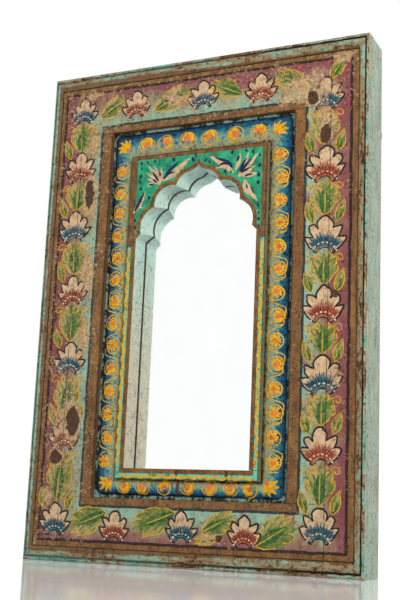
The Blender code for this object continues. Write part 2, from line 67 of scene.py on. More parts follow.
Stops = Sequence[tuple[float, Colour]]
Ellipses = Sequence[tuple[float, float, float, float]]
Triples = Sequence[Triple]
Leaves = Sequence[tuple[Point, Point, float]]


def linear(colour: Colour) -> tuple[float, float, float, float]:
    """A colour as it looks on a screen, from 0 to 255, as linear light with a solid alpha."""
    shares = (value / 255 for value in colour)
    return *(s / 12.92 if s <= 0.04045 else ((s + 0.055) / 1.055) ** 2.4 for s in shares), 1.0


@dataclass(frozen=True)
class Rect:
    """An upright rectangle seen from the front, in metres."""

    left: float
    right: float
    bottom: float
    top: float

    @staticmethod
    def round_nodes(*names: str) -> "Rect":
        """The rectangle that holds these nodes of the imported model."""
        lows, highs = zip(*(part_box(name) for name in names))
        return Rect(
            min(p.x for p in lows), max(p.x for p in highs), min(p.z for p in lows), max(p.z for p in highs)
        )

    @staticmethod
    def between_nodes(left: str, right: str, bottom: str, top: str) -> "Rect":
        """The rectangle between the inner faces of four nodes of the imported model."""
        return Rect(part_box(left)[1].x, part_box(right)[0].x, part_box(bottom)[1].z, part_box(top)[0].z)

    def toward(self, other: "Rect", share: float) -> "Rect":
        """The rectangle part of the way to another."""
        return Rect(
            *(getattr(self, n) + (getattr(other, n) - getattr(self, n)) * share for n in SIDES_OF_RECT)
        )


SIDES_OF_RECT = ("left", "right", "bottom", "top")
SIDES = ("left", "right", "top", "bottom")
CASE = Rect.round_nodes("casing_left", "casing_right")
MIDDLE_Z = (CASE.bottom + CASE.top) / 2
BORDER = Rect.between_nodes("casing_left", "casing_right", "casing_bottom", "casing_top")
CUSHION = Rect.round_nodes("cushion_left", "cushion_right", "cushion_top")
PANEL = Rect.round_nodes("arch_head", "sill_left", "sill_right")
PANEL_BED = Rect.between_nodes("cushion_left", "cushion_right", "cushion_bottom_left", "cushion_top")
OPENING = Rect(
    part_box("jamb_left")[1].x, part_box("jamb_right")[0].x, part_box("sill_left")[1].z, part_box("jamb_left")[1].z
)
PANEL_FACE_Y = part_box("arch_head")[0].y
PLANK_FACE_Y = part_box("rail_top")[0].y
BOARD_EDGES = 10.0  # degrees; past this an edge of a flat board stays sharp, so that its faces are flat
PLANK_JOINT = (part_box("inner_stile_right")[1].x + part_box("outer_stile_right")[0].x) / 2


class Value:
    """What a node gives, for use in plain arithmetic; each operation adds a node."""

    def __init__(self, graph: "Graph", socket: NodeSocket) -> None:
        """Keeps the socket and the graph that it belongs to."""
        self.graph, self.socket = graph, socket

    def __add__(self, other: object) -> "Value":
        """The sum."""
        return self.graph.math("ADD", self, other)

    def __sub__(self, other: object) -> "Value":
        """The difference."""
        return self.graph.math("SUBTRACT", self, other)

    def __rsub__(self, other: object) -> "Value":
        """The difference, with this value taken away."""
        return self.graph.math("SUBTRACT", other, self)

    def __mul__(self, other: object) -> "Value":
        """The product."""
        return self.graph.math("MULTIPLY", self, other)

    def __truediv__(self, other: object) -> "Value":
        """The quotient."""
        return self.graph.math("DIVIDE", self, other)

    def __abs__(self) -> "Value":
        """The value without its sign."""
        return self.graph.math("ABSOLUTE", self)

    def step(self, low: float, high: float, start: float = 0.0, end: float = 1.0) -> "Value":
        """A smooth step from start to end as this value goes from low to high."""
        made = self.graph.node("MapRange", self, low, high, start, end, interpolation_type="SMOOTHSTEP")
        return Value(self.graph, made.outputs[0])

    def fall(self, low: float, high: float) -> "Value":
        """A smooth step down from 1 to 0 as this value goes from low to high."""
        return self.step(low, high, 1.0, 0.0)


class Graph:
    """The nodes of one tree, written as short calls."""

    def __init__(self, tree: NodeTree, end: Node) -> None:
        """Keeps the tree that the calls add to and the node that takes what they lead to."""
        self.tree, self.end = tree, end

    def put(self, socket: NodeSocket, value: object) -> None:
        """Links a value to a socket, or sets the socket's own.

        Args:
            socket: The input socket.
            value: A value, a number, a triple, a colour from 0 to 255, or None to leave it.
        """
        if isinstance(value, Value):
            self.tree.links.new(value.socket, socket)
        elif value is not None:
            socket.default_value = linear(value) if socket.type == "RGBA" else value

    def node(self, kind: str, *values: object, **settings: object) -> Node:
        """A new node.

        Args:
            kind: Type name without its ShaderNode prefix.
            values: What goes into its inputs, in order; None leaves one as it is.
            settings: Properties to set on it.

        Returns:
            The node.
        """
        made = self.tree.nodes.new("ShaderNode" + kind)
        for name, value in settings.items():
            setattr(made, name, value)
        for socket, value in zip(made.inputs, values):
            self.put(socket, value)
        return made

    def values(self, node: Node) -> dict[str, Value]:
        """What a node gives, by name."""
        return {socket.name: Value(self, socket) for socket in node.outputs}

    def use(self, group: NodeTree, *values: object) -> dict[str, Value]:
        """What a node group gives for the values of its inputs, by name."""
        return self.values(self.node("Group", *values, node_tree=group))

    def give(self, name: str, value: object) -> None:
        """Puts a value into an input of the last node."""
        self.put(self.end.inputs[name], value)

    def math(self, operation: str, *values: object) -> Value:
        """Result of a Math node."""
        return Value(self, self.node("Math", *values, operation=operation).outputs[0])

    def most(self, *values: object) -> Value:
        """The larger of two."""
        return self.math("MAXIMUM", *values)

    def least(self, *values: object) -> Value:
        """The smaller of two."""
        return self.math("MINIMUM", *values)

    def vector(self, operation: str, *values: object) -> Value:
        """Result of a Vector Math node: a number for LENGTH, otherwise a vector."""
        return Value(
            self, self.node("VectorMath", *values, operation=operation).outputs[operation == "LENGTH"]
        )

    def noise(self, where: Value, size: float, detail: float = 3.0, roughness: float = 0.55) -> Value:
        """Smooth noise about 0.5, with patches of a size in metres and finer layers of some strength."""
        return Value(self, self.node("TexNoise", where, None, 1 / size, detail, roughness).outputs[0])

    def mix(self, share: object, first: object, second: object) -> Value:
        """A colour between two: the first where the share is 0 and the second where it is 1."""
        made = self.node("Mix", share, *[None] * 5, first, second, data_type="RGBA")
        return Value(self, made.outputs[2])

    def split(self, where: Value) -> list[Value]:
        """X, Y and Z of a vector."""
        return list(self.values(self.node("SeparateXYZ", where)).values())

    def grey(self, level: Value) -> Value:
        """A vector, or a grey, of one level."""
        return Value(self, self.node("CombineXYZ", level, level, level).outputs[0])

    def outside(self, where: Value, rect: Rect) -> Value:
        """How far a place lies outside an upright rectangle, below 0 inside it."""
        return self.use(RECT_DISTANCE, where, rect.left, rect.right, rect.bottom, rect.top)["Distance"]

    def shifted(self, where: Value, size: float, reach: float, detail: float = 4.0) -> Value:
        """A position pushed about by noise, for edges drawn by hand.

        Args:
            where: The position.
            size: Size of the patches of noise.
            reach: How far they push.
            detail: Detail of the noise.

        Returns:
            The pushed position.
        """
        push = self.values(self.node("TexNoise", where, None, 1 / size, detail))["Color"]
        push = self.vector("SUBTRACT", push, (0.5, 0.5, 0.5))
        return self.vector("ADD", where, self.vector("SCALE", push, None, None, reach))

    def ramp(self, value: Value, stops: Stops) -> Value:
        """A colour ramp.

        Args:
            value: Place on the ramp.
            stops: Each stop's place and colour, in order.

        Returns:
            The colour.
        """
        made = self.node("ValToRGB", value)
        elements = made.color_ramp.elements
        for index, (place, colour) in enumerate(stops):
            element = elements[index] if index < 2 else elements.new(place)
            element.position = place
            element.color = linear(colour)
        return Value(self, made.outputs[0])

    def shaded(self, colour: Value, shade: Value, dark: float) -> Value:
        """A colour that keeps only the dark share of its light where the shade falls to 0."""
        return self.vector("MULTIPLY", colour, self.grey(shade.step(0.0, 1.0, dark, 1.0)))

    def speckled(self, colour: Value, where: Value, dark: float = 0.36) -> Value:
        """A colour with the fine dark specks of old varnish and dust.

        Args:
            colour: The clean colour.
            where: Position on the piece.
            dark: Share of the light that a speck leaves.

        Returns:
            The speckled colour.
        """
        fine = self.noise(self.vector("ADD", where, (0.7, 0.2, 0.3)), 4.2 * MM, 4.0, 0.8)
        level = (self.noise(where, 24 * MM, 3.0, 0.6) - 0.5) * 0.26 + fine
        return self.shaded(colour, level.fall(0.545, 0.60), dark)

    def jointed(self, colour: Value, where: Value, top: float) -> Value:
        """A colour with the ragged dark joints between the lengths of the sill.

        Args:
            colour: The colour beside the joints.
            where: Position on the piece.
            top: Z that the joints reach up to.

        Returns:
            The colour with its joints.
        """
        x, _, z = self.split(where)
        ragged = self.noise(where, 5 * MM, 4.0, 0.7) * (5 * MM) - 2.5 * MM
        off = self.least(*(abs(x - joint + ragged) for joint in SILL_JOINTS))
        return self.mix(
            off.step(1.1 * MM, 2.2 * MM, 0.92, 0.0) * z.fall(top, top + MM), colour, JOINT_COLOUR
        )

    def bump(self, height: Value, distance: float, strength: float = 1.0) -> Value:
        """Normal of a relief whose height from 0 to 1 stands for a distance in metres."""
        return Value(self, self.node("Bump", strength, distance, None, height).outputs[0])


def new_group(name: str, inputs: dict[str, object], *outputs: str) -> tuple[Graph, dict[str, Value]]:
    """A shader node group with named inputs and outputs.

    Args:
        name: Name of the group.
        inputs: Default of each input: a number, or a triple for a vector.
        outputs: Name of each output; all are numbers.

    Returns:
        Its graph, and what its inputs give, by name.
    """
    tree = bpy.data.node_groups.new(name, "ShaderNodeTree")
    for label, value in inputs.items():
        kind = "Float" if isinstance(value, float) else "Vector"
        socket = tree.interface.new_socket(name=label, in_out="INPUT", socket_type="NodeSocket" + kind)
        socket.default_value = value
    for label in outputs:
        tree.interface.new_socket(name=label, in_out="OUTPUT", socket_type="NodeSocketFloat")
    graph = Graph(tree, tree.nodes.new("NodeGroupOutput"))
    return graph, graph.values(tree.nodes.new("NodeGroupInput"))


def rect_distance_group() -> NodeTree:
    """How far a place lies outside an upright rectangle, below 0 inside it.

    Returns:
        The group, with the rectangle's four sides as inputs.
    """
    inputs = {"Where": (0.0, 0.0, 0.0), "Left": 0.0, "Right": 0.0, "Bottom": 0.0, "Top": 0.0}
    graph, given = new_group("Distance to rectangle", inputs, "Distance")
    x, _, z = graph.split(given["Where"])
    across = graph.most(given["Left"] - x, x - given["Right"])
    up = graph.most(given["Bottom"] - z, z - given["Top"])
    graph.give("Distance", graph.most(across, up))
    return graph.tree


@dataclass(frozen=True)
class WornPlaces:
    """Where the paint has suffered most, as (x, z, half width, half height) in millimetres."""

    rubbed: Ellipses = (
        (-150, 573, 34, 8), (-146, 505, 10, 26), (-144, 430, 12, 50), (-143, 345, 10, 34),
        (-143, 262, 8, 30), (-162, 172, 20, 48), (-180, 76, 10, 16), (134, 542, 34, 22),
        (160, 500, 14, 24), (178, 575, 16, 8), (176, 214, 10, 22), (-38, 552, 17, 13), (30, 36, 17, 9),
        (110, 534, 14, 8),
    )
    chipped: Ellipses = (
        (-148, 443, 6.5, 19), (-151, 162.5, 9, 17.5), (-172, 119.5, 8, 8.5), (157, 485, 6, 11),
        (141, 530, 6, 9), (44, 35, 5, 4), (-186, 288, 3, 7), (171, 300, 4, 5),
    )


def wear_group(places: WornPlaces) -> NodeTree:
    """Wear of the old paint, the same for the ground and for what is painted on it.

    Args:
        places: Where it is worst.

    Returns:
        A group that gives the masks Rubbed, Chipped, Edge, Grime and Crack.
    """
    inputs = {"Where": (0.0, 0.0, 0.0), "Amount": 1.0}
    masks = ("Rubbed", "Chipped", "Edge", "Grime", "Crack")
    graph, given = new_group("Old paint wear", inputs, *masks)
    where = given["Where"]
    torn = graph.shifted(where, 7 * MM, 9 * MM, 5.0)
    flat = graph.vector("MULTIPLY", torn, (1.0, 0.0, 1.0))

    def near(ellipses: Ellipses) -> Value:
        """Nearness to the closest ellipse: 1 at its centre, 0 at its outline.

        Args:
            ellipses: Those to measure to.

        Returns:
            The nearness.
        """
        best = None
        for x, z, half_width, half_height in ellipses:
            offset = graph.vector("SUBTRACT", flat, (x * MM, 0.0, z * MM))
            scaled = graph.vector("DIVIDE", offset, (half_width * MM, 1.0, half_height * MM))
            nearness = 1.0 - graph.vector("LENGTH", scaled)
            best = nearness if best is None else graph.most(best, nearness)
        return best

    broad = graph.noise(where, 34 * MM, 4.0, 0.6)
    fine = graph.noise(where, 5 * MM, 5.0, 0.7)
    flecks = graph.noise(where, 1.3 * MM, 3.0, 0.6)
    rubbed_place = graph.most(near(places.rubbed), -0.6) * 0.16
    level = (broad * 0.42 + fine * 0.46 + flecks * 0.12 + rubbed_place) * given["Amount"]
    chip = near(places.chipped)
    level = level + chip.step(-0.55, -0.2, 0.0, 0.10)
    x, _, z = graph.split(where)
    dense = graph.noise(graph.vector("ADD", where, (0.5, 0.0, 0.9)), 30 * MM, 3.0).step(0.40, 0.68)
    aged = graph.most(x.step(-0.11, -0.14), z.step(0.50, 0.54))
    dense = aged * 0.9 + dense
    level = aged * 0.014 + level
    speck = graph.noise(where, 3.8 * MM, 5.0, 0.8) - (dense * -0.07 + 0.64)
    specks = speck.step(0.0, 0.03) * 0.75
    graph.give("Rubbed", graph.most(level.step(0.563, 0.600), specks))
    graph.give("Edge", level.step(0.52, 0.57))
    graph.give("Chipped", chip.step(-0.04, 0.06))
    graph.give("Grime", graph.noise(where, 12 * MM, 6.0, 0.7).step(0.42, 0.72))
    waver = graph.noise(where, 9 * MM, 3.0) * (1.4 * MM) - 0.7 * MM
    off_joint = abs(abs(x) - PLANK_JOINT) + waver * 0.25
    graph.give("Crack", off_joint.fall(0.18 * MM, 0.42 * MM))
    return graph.tree


def brushwork_group() -> NodeTree:
    """Streaks that a brush leaves, as a height and as a change of shade.

    Returns:
        The group, with the stretch along each axis as inputs.
    """
    inputs = {"Where": (0.0, 0.0, 0.0), "Stretch": (1.0, 1.0, 1.0)}
    graph, given = new_group("Brushwork", inputs, "Height", "Shade")
    drawn = graph.vector("MULTIPLY", given["Where"], given["Stretch"])
    hairs = graph.noise(drawn, 0.9 * MM, 3.0, 0.6)
    dabs = graph.noise(drawn, 7 * MM, 4.0, 0.6)
    graph.give("Height", hairs * 0.55 + dabs * 0.45)
    graph.give("Shade", (hairs * 0.4 + dabs * 0.6).step(0.3, 0.7))
    return graph.tree


def grain_group() -> NodeTree:
    """Grain of sawn wood along one axis.

    Returns:
        The group, which gives the grain as a shade and its pores as a height.
    """
    inputs = {"Where": (0.0, 0.0, 0.0), "Stretch": (1.0, 1.0, 1.0)}
    graph, given = new_group("Wood grain", inputs, "Shade", "Height")
    drawn = graph.vector("MULTIPLY", given["Where"], given["Stretch"])
    bands = graph.noise(drawn, 9 * MM, 4.0, 0.6)
    fibres = graph.noise(drawn, 1.1 * MM, 4.0, 0.65)
    rings = graph.math("FRACT", bands * 7.0)
    graph.give("Shade", (rings * 0.35 + fibres * 0.65).step(0.2, 0.8))
    graph.give("Height", fibres)
    return graph.tree


JOINT_COLOUR = (70, 46, 38)
SILL_JOINTS = (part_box("sill_left")[1].x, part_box("sill_right")[0].x)
RECT_DISTANCE = rect_distance_group()
WEAR = wear_group(WornPlaces())
BRUSHWORK = brushwork_group()
GRAIN = grain_group()


@dataclass(frozen=True)
class Finish:
    """A surface: its name, and how rough it is."""

    name: str
    roughness: float = 0.5
    sheen: ClassVar[float] = 0.22

    def start(self) -> tuple[Material, Graph, Value]:
        """A new material.

        Returns:
            The material, its graph and the position on the piece.
        """
        made = bpy.data.materials.new(self.name)
        made.use_nodes = True
        graph = Graph(made.node_tree, made.node_tree.nodes["Principled BSDF"])
        graph.give("Roughness", self.roughness)
        graph.give("Specular IOR Level", self.sheen)
        return made, graph, graph.values(graph.node("TexCoord"))["Object"]


@dataclass(frozen=True)
class Wear:
    """Colours that wear brings out, shared by every painted piece."""

    plaster: Colour = (172, 138, 100)
    plaster_light: Colour = (206, 178, 138)
    under_paint: Colour = (128, 96, 74)
    bare: Colour = (74, 52, 38)
    bare_light: Colour = (112, 82, 60)
    crack: Colour = (38, 28, 21)

    def over(
        self, graph: Graph, colour: Value, where: Value, amount: float = 1.0
    ) -> tuple[Value, dict[str, Value]]:
        """Lays the wear over a colour.

        Args:
            graph: Graph of the material.
            colour: The paint's colour.
            where: Position on the piece.
            amount: How much of the paint is rubbed off, about 1.

        Returns:
            The worn colour, and the masks of the wear by name.
        """
        masks = graph.use(WEAR, where, amount)
        mottle = graph.noise(where, 3 * MM, 4.0)
        plaster = graph.mix(mottle.step(0.4, 0.62), self.plaster, self.plaster_light)
        edged = graph.mix(masks["Edge"] * 0.35, colour, self.under_paint)
        worn = graph.mix(masks["Rubbed"] * 0.9, edged, plaster)
        bare = graph.mix(mottle.step(0.5, 0.75), self.bare, self.bare_light)
        worn = graph.mix(masks["Chipped"], worn, bare)
        worn = graph.speckled(worn, where, 0.5)
        return graph.mix(masks["Crack"], worn, self.crack), masks


@dataclass(frozen=True)
class BorderPaint(Finish):
    """Ground of the flower border: brown bands, black lines and a mottled mint to maroon field."""

    brown: Colour = (148, 107, 62)
    brown_dark: Colour = (90, 61, 37)
    line: Colour = (20, 16, 16)
    shadow: Colour = (40, 28, 20)
    field: Stops = (
        (0, (152, 190, 170)), (0.26, (158, 168, 138)), (0.50, (158, 136, 108)),
        (0.70, (148, 102, 96)), (0.95, (136, 78, 80)),
    )
    magenta: Colour = (150, 64, 88)
    outer_line: Rect = Rect(-188.6 * MM, 187.2 * MM, 24.6 * MM, 575.6 * MM)
    inner_band: Rect = Rect(-132.4 * MM, 132.4 * MM, 66.4 * MM, 526.6 * MM)
    line_width: float = 3.3 * MM
    field_width: float = 50 * MM
    wear: Wear = Wear()

    def material(self) -> Material:
        """The finish as a material.

        Returns:
            The material.
        """
        made, graph, where = self.start()
        drawn = graph.shifted(where, 16 * MM, 3.4 * MM)
        inner = graph.outside(drawn, self.inner_band)
        outer = graph.outside(drawn, self.outer_line)
        strokes = graph.use(BRUSHWORK, where, (1.0, 1.0, 0.35))
        broad = graph.noise(where, 30 * MM, 5.0, 0.62)
        colour = graph.ramp(inner / self.field_width + broad * 1.7 - 0.92, self.field)
        x, y, z = graph.split(where)
        glow = graph.noise(graph.vector("ADD", where, (0.31, 0.0, 0.17)), 26 * MM, 4.0, 0.6)
        corner = abs(z - 0.28) * 0.35 + glow
        magenta = corner.step(0.60, 0.70) * x.step(-0.12, 0.19, 0.15, 0.8)
        colour = graph.mix(magenta, colour, self.magenta)
        brown = graph.mix(strokes["Shade"], self.brown_dark, self.brown)
        band = graph.most(inner.fall(-0.1 * MM, 0.1 * MM), outer.step(0.5 * MM, 0.8 * MM))
        colour = graph.mix(band, graph.shaded(colour, strokes["Shade"], 0.72), brown)
        nearest = graph.least(abs(outer), abs(inner - self.line_width / 2))
        ink = nearest.fall(0.40 * self.line_width, 0.60 * self.line_width)
        colour = graph.mix(ink * 0.92, colour, self.line)
        rim = (strokes["Height"] * (-2.4 * MM) + inner).fall(-12.6 * MM, -11.6 * MM)
        colour = graph.mix(rim * 0.75, colour, self.shadow)
        worn, masks = self.wear.over(graph, colour, where)
        depth = y.step(PLANK_FACE_Y + 0.8 * MM, PLANK_FACE_Y + 1.6 * MM)
        graph.give("Base Color", graph.mix(depth, worn, self.wear.bare_light))
        height = masks["Chipped"] * -0.8 + masks["Rubbed"] * -0.5 + strokes["Height"]
        graph.give("Normal", graph.bump(height, 0.35 * MM, 0.8))
        graph.give("Roughness", masks["Rubbed"].step(0.0, 1.0, 0.42, 0.7))
        return made


@dataclass(frozen=True)
class BrushPaint(Finish):
    """Paint laid on in strokes, worn where the ground under it is."""

    colour: Colour = (220, 196, 164)
    second: Colour = (205, 176, 140)
    patch: float = 6 * MM
    amount: float = 0.985
    wear: Wear = Wear()

    def material(self) -> Material:
        """The finish as a material.

        Returns:
            The material.
        """
        made, graph, where = self.start()
        shift = graph.noise(where, self.patch, 4.0, 0.6)
        colour = graph.mix(shift.step(0.38, 0.66), self.colour, self.second)
        strokes = graph.use(BRUSHWORK, where, (1.0, 1.0, 0.6))
        colour = graph.shaded(colour, strokes["Shade"], 0.84)
        worn, masks = self.wear.over(graph, colour, where, self.amount)
        graph.give("Base Color", worn)
        graph.give("Normal", graph.bump(strokes["Height"], 0.15 * MM, 0.6))
        graph.give("Roughness", masks["Grime"].step(0.0, 1.0, self.roughness, 0.6))
        return made


@dataclass(frozen=True)
class CasingPaint(Finish):
    """Turquoise outside and bead, black quirk and a much rubbed olive thumb with a brown foot, and a painted
    shadow line where the thumb meets the border.
    """

    stretch: Triple = (1.0, 1.0, 0.2)
    short: Triple = (1.0, 1.0, 0.5)
    tone_left_right: tuple[float, float] = (-0.054, -0.006)
    outside: Stops = (
        (0.38, (132, 176, 166)), (0.46, (166, 196, 180)), (0.54, (188, 202, 184)),
        (0.62, (160, 158, 130)),
    )
    bead: Stops = (
        (0.44, (104, 160, 146)), (0.48, (166, 188, 166)), (0.51, (180, 158, 128)),
        (0.56, (112, 84, 54)), (0.63, (44, 34, 28)),
    )
    thumb: Stops = (
        (0.43, (148, 180, 160)), (0.475, (140, 140, 104)), (0.515, (176, 150, 118)),
        (0.55, (116, 88, 54)), (0.60, (52, 39, 30)),
    )
    band: Colour = (146, 156, 132)
    quirk: Colour = (26, 23, 21)
    foot: Colour = (112, 82, 54)
    wood: Colour = (150, 112, 76)
    quirk_ends: tuple[float, float] = (0.255, 0.365)
    foot_start: tuple[float, float] = (0.64, 0.86)

    def material(self) -> Material:
        """The finish as a material.

        Returns:
            The material.
        """
        made, graph, where = self.start()
        x, y, z = graph.split(where)
        side = CASE.right - abs(x)
        end = MIDDLE_Z - abs(z - MIDDLE_Z)
        share = graph.least(side / (CASE.right - BORDER.right), end / (CASE.top - BORDER.top))
        drawn = graph.vector("MULTIPLY", where, self.stretch)
        patchy = graph.noise(drawn, 8 * MM, 5.0, 0.62)
        ragged = graph.noise(graph.vector("MULTIPLY", where, self.short), 4.5 * MM, 5.0, 0.8)
        along = graph.use(BRUSHWORK, where, self.stretch)
        # tone shifts along x, lower towards the left, where it turns the paint more turquoise
        tone = patchy * 0.55 + ragged * 0.45 + x.step(-0.19, 0.19, *self.tone_left_right)
        outside = graph.ramp(along["Height"] * 0.5 + tone * 0.5, self.outside)
        strip = y.step(-20 * MM, -18.5 * MM) * y.fall(-14.5 * MM, -13 * MM)
        outside = graph.mix(strip * 0.45, outside, self.band)
        colour = graph.mix(share.step(0.0, 0.03), outside, graph.ramp(tone, self.bead))
        colour = graph.mix(share.step(0.3, 0.32), colour, graph.ramp(tone, self.thumb))
        colour = graph.shaded(colour, along["Shade"], 0.78)
        front = y.fall(PANEL_FACE_Y + 4 * MM, PANEL_FACE_Y + 4.6 * MM)
        low, high = self.quirk_ends
        worn_share = (ragged - 0.5) * 0.34 + share
        cut = worn_share.step(low - 0.04, low) * worn_share.fall(high, high + 0.05)
        cut = cut * patchy.step(0.62, 0.56) * x.step(-0.19, 0.19, 0.5, 1.0)
        colour = graph.mix(cut * front, colour, self.quirk)
        foot = ((ragged - 0.5) * 0.4 + share - x.step(-0.1, 0.1, *self.foot_start)).step(0.0, 0.06)
        colour = graph.mix(foot * 0.9, colour, self.foot)
        # painted shadow: the quirk's black laid along the foot of the thumb, where it meets the border
        rim = worn_share.step(0.95, 1.0) * y.step(PLANK_FACE_Y - 1.2 * MM, PLANK_FACE_Y - 0.2 * MM)
        colour = graph.mix(rim * 0.8, colour, self.quirk)
        inside = share.step(0.97, 0.99) * y.step(PLANK_FACE_Y + MM, PLANK_FACE_Y + 2 * MM)
        colour = graph.mix(inside, colour, self.wood)
        graph.give("Base Color", graph.speckled(colour, where))
        rubbed = tone.step(0.50, 0.53)
        height = rubbed * front * -0.7 + along["Height"] + ragged * 0.6
        graph.give("Normal", graph.bump(height, 0.45 * MM, 0.8))
        graph.give("Roughness", rubbed.step(0.0, 1.0, self.roughness, 0.68))
        return made


@dataclass(frozen=True)
class CushionPaint(Finish):
    """Blue of the half-round moulding: navy outside, deepening to near black at its outer edge as painted shade of
    the groove, teal on the crown, sage towards the panel.
    """

    # the last stops run from navy paint to near black at the outer edge: painted shade where the moulding falls
    # into the groove
    across: Stops = (
        (0.02, (70, 44, 40)), (0.09, (160, 154, 114)), (0.44, (136, 168, 144)), (0.62, (34, 124, 144)),
        (0.82, (8, 78, 114)), (0.95, (8, 24, 38)),
    )
    worn: Colour = (150, 140, 108)

    def material(self) -> Material:
        """The finish as a material.

        Returns:
            The material.
        """
        made, graph, where = self.start()
        outer = graph.outside(where, CUSHION)
        inner = graph.outside(where, PANEL_BED)
        share = inner / (inner - outer)
        broad = graph.noise(where, 16 * MM, 4.0, 0.6)
        streaks = graph.use(BRUSHWORK, where, (1.0, 1.0, 0.22))
        x, _, _ = graph.split(where)
        shift = streaks["Height"] * 0.36 + broad * 0.3 - 0.33 + x.step(-0.10, 0.10, 0.03, -0.08)
        grit = graph.noise(where, 4.5 * MM, 5.0, 0.85)
        shift = shift + grit.step(0.50, 0.58, 0.0, 0.30)
        colour = graph.ramp(share + shift, self.across)
        colour = graph.shaded(colour, streaks["Shade"], 0.78)
        fine = graph.noise(where, 2.2 * MM, 5.0, 0.7)
        rubbed = (fine * 0.6 + broad * 0.4).step(0.63, 0.67)
        colour = graph.mix(rubbed * 0.7, colour, self.worn)
        colour = graph.jointed(colour, where, PANEL.bottom)
        graph.give("Base Color", graph.speckled(colour, where, 0.4))
        height = rubbed * -0.3 + streaks["Height"]
        graph.give("Normal", graph.bump(height, 0.25 * MM, 0.7))
        return made


@dataclass(frozen=True)
class GroovePaint(Finish):
    """Liners: pale turquoise paint in the groove round the moulding, about half of it darkened to near black as
    stain and painted shade of the deep groove, raw wood behind.
    """

    paint: Colour = (128, 160, 148)
    stain_and_shade: Colour = (34, 32, 26)
    wood: Colour = (158, 120, 82)
    wood_dark: Colour = (120, 86, 56)

    def material(self) -> Material:
        """The finish as a material.

        Returns:
            The material.
        """
        made, graph, where = self.start()
        _, y, _ = graph.split(where)
        broad = graph.noise(where, 18 * MM, 5.0, 0.6)
        fine = graph.noise(where, 4 * MM, 5.0, 0.7)
        level = broad * 0.5 + fine * 0.5
        # about half the groove paint goes near black: stain, deepened as painted shade of the groove
        paint = graph.mix(level.step(0.45, 0.54), self.paint, self.stain_and_shade)
        grain = graph.use(GRAIN, where, (1.0, 1.0, 0.12))
        wood = graph.mix(grain["Shade"], self.wood_dark, self.wood)
        behind = y.step(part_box("liner_left")[0].y + 0.4 * MM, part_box("liner_left")[0].y + 0.9 * MM)
        graph.give("Base Color", graph.mix(behind, paint, wood))
        graph.give("Normal", graph.bump(grain["Height"], 0.15 * MM, 0.6))
        return made


@dataclass(frozen=True)
class ArchPaint(Finish):
    """Arch panel: green spandrels between brown bands, and a pale reveal that turns paler cyan in the head, cyan
    paint with painted light on its shaded underside.
    """

    green: Colour = (54, 176, 130)
    green_deep: Colour = (24, 128, 96)
    brown: Colour = (140, 102, 56)
    brown_dark: Colour = (88, 60, 34)
    strip: Colour = (112, 206, 178)
    reveal: Colour = (228, 226, 204)
    reveal_cyan_lit: Colour = (206, 244, 236)
    worn: Colour = (168, 132, 104)
    rim: Colour = (62, 36, 34)
    wall: Colour = (134, 128, 98)
    foot: Colour = (108, 108, 92)
    green_area: Rect = Rect(-80 * MM, 82.6 * MM, 96 * MM, 477.6 * MM)
    impost: tuple[float, float] = (370 * MM, 378.2 * MM)

    def material(self) -> Material:
        """The finish as a material.

        Returns:
            The material.
        """
        made, graph, where = self.start()
        x, y, z = graph.split(where)
        broad = graph.noise(where, 14 * MM, 5.0, 0.62)
        fine = graph.noise(where, 2.0 * MM, 5.0, 0.7)
        strokes = graph.use(BRUSHWORK, where, (1.0, 1.0, 0.5))
        green = graph.mix(broad.step(0.36, 0.66), self.green, self.green_deep)
        brown = graph.mix(strokes["Shade"], self.brown_dark, self.brown)
        wobble = broad * (2.2 * MM) - 1.1 * MM
        area = self.green_area
        left = (x + wobble).fall(area.left - 0.2 * MM, area.left + 0.2 * MM)
        right = (x + wobble).step(area.right - 0.2 * MM, area.right + 0.2 * MM)
        top = (z + wobble).step(area.top - 0.2 * MM, area.top + 0.2 * MM)
        low, high = self.impost
        block = z.step(low - MM, low) * z.fall(high, high + MM)
        sides = graph.most(left, right) * z.step(high, high + MM)
        beside = graph.outside(where, Rect(OPENING.left, OPENING.right, OPENING.bottom, PANEL.top))
        edge = (beside + wobble).fall(5.3 * MM, 5.7 * MM) * z.fall(low, high)
        bands = graph.most(graph.most(sides, top), graph.most(block, edge))
        below = z.fall(low - MM, low)
        green = graph.mix(below * broad.step(0.66, 0.50), green, self.strip)
        painted = graph.shaded(graph.mix(bands, green, brown), strokes["Shade"], 0.8)
        level = fine * 0.5 + broad * 0.5 + graph.most(bands, 0.0) * 0.03
        rubbed = level.step(0.60, 0.64)
        front = graph.mix(rubbed * 0.8, painted, self.worn)
        off_edge = graph.outside(where, PANEL)
        rim = (fine * (1.2 * MM) + off_edge).step(-0.9 * MM, -0.4 * MM)
        wall = off_edge.step(-0.5 * MM, -0.3 * MM)
        # paler cyan in the head's reveal: cyan paint, brightened as painted light on the shaded underside of the
        # arch
        upper_reveal_lit = (z + broad * 0.3).step(0.36, 0.52) * z.step(0.11, 0.13)
        reveal = graph.mix(upper_reveal_lit * 0.9, self.reveal, self.reveal_cyan_lit)
        reveal = graph.mix(level.step(0.585, 0.625, 0.0, 0.7), reveal, self.worn)
        reveal = graph.shaded(reveal, strokes["Shade"], 0.86)
        depth = (fine * (0.8 * MM) + y).step(PANEL_FACE_Y + 0.9 * MM, PANEL_FACE_Y + 1.5 * MM)
        behind = graph.mix(wall, reveal, self.wall)
        rim = rim * depth.step(0.0, 1.0, 0.85, 0.0)
        colour = graph.mix(rim, graph.mix(depth, front, behind), self.rim)
        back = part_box("arch_head")[1].y
        foot = (fine * (1.6 * MM) + y).step(back - 0.5 * MM, back + 0.1 * MM)
        colour = graph.mix(foot * 0.9, colour, self.foot)
        colour = graph.jointed(colour, where, OPENING.bottom)
        graph.give("Base Color", graph.speckled(colour, where, 0.6))
        height = rubbed * -0.4 + strokes["Height"]
        graph.give("Normal", graph.bump(height, 0.3 * MM, 0.8))
        return made


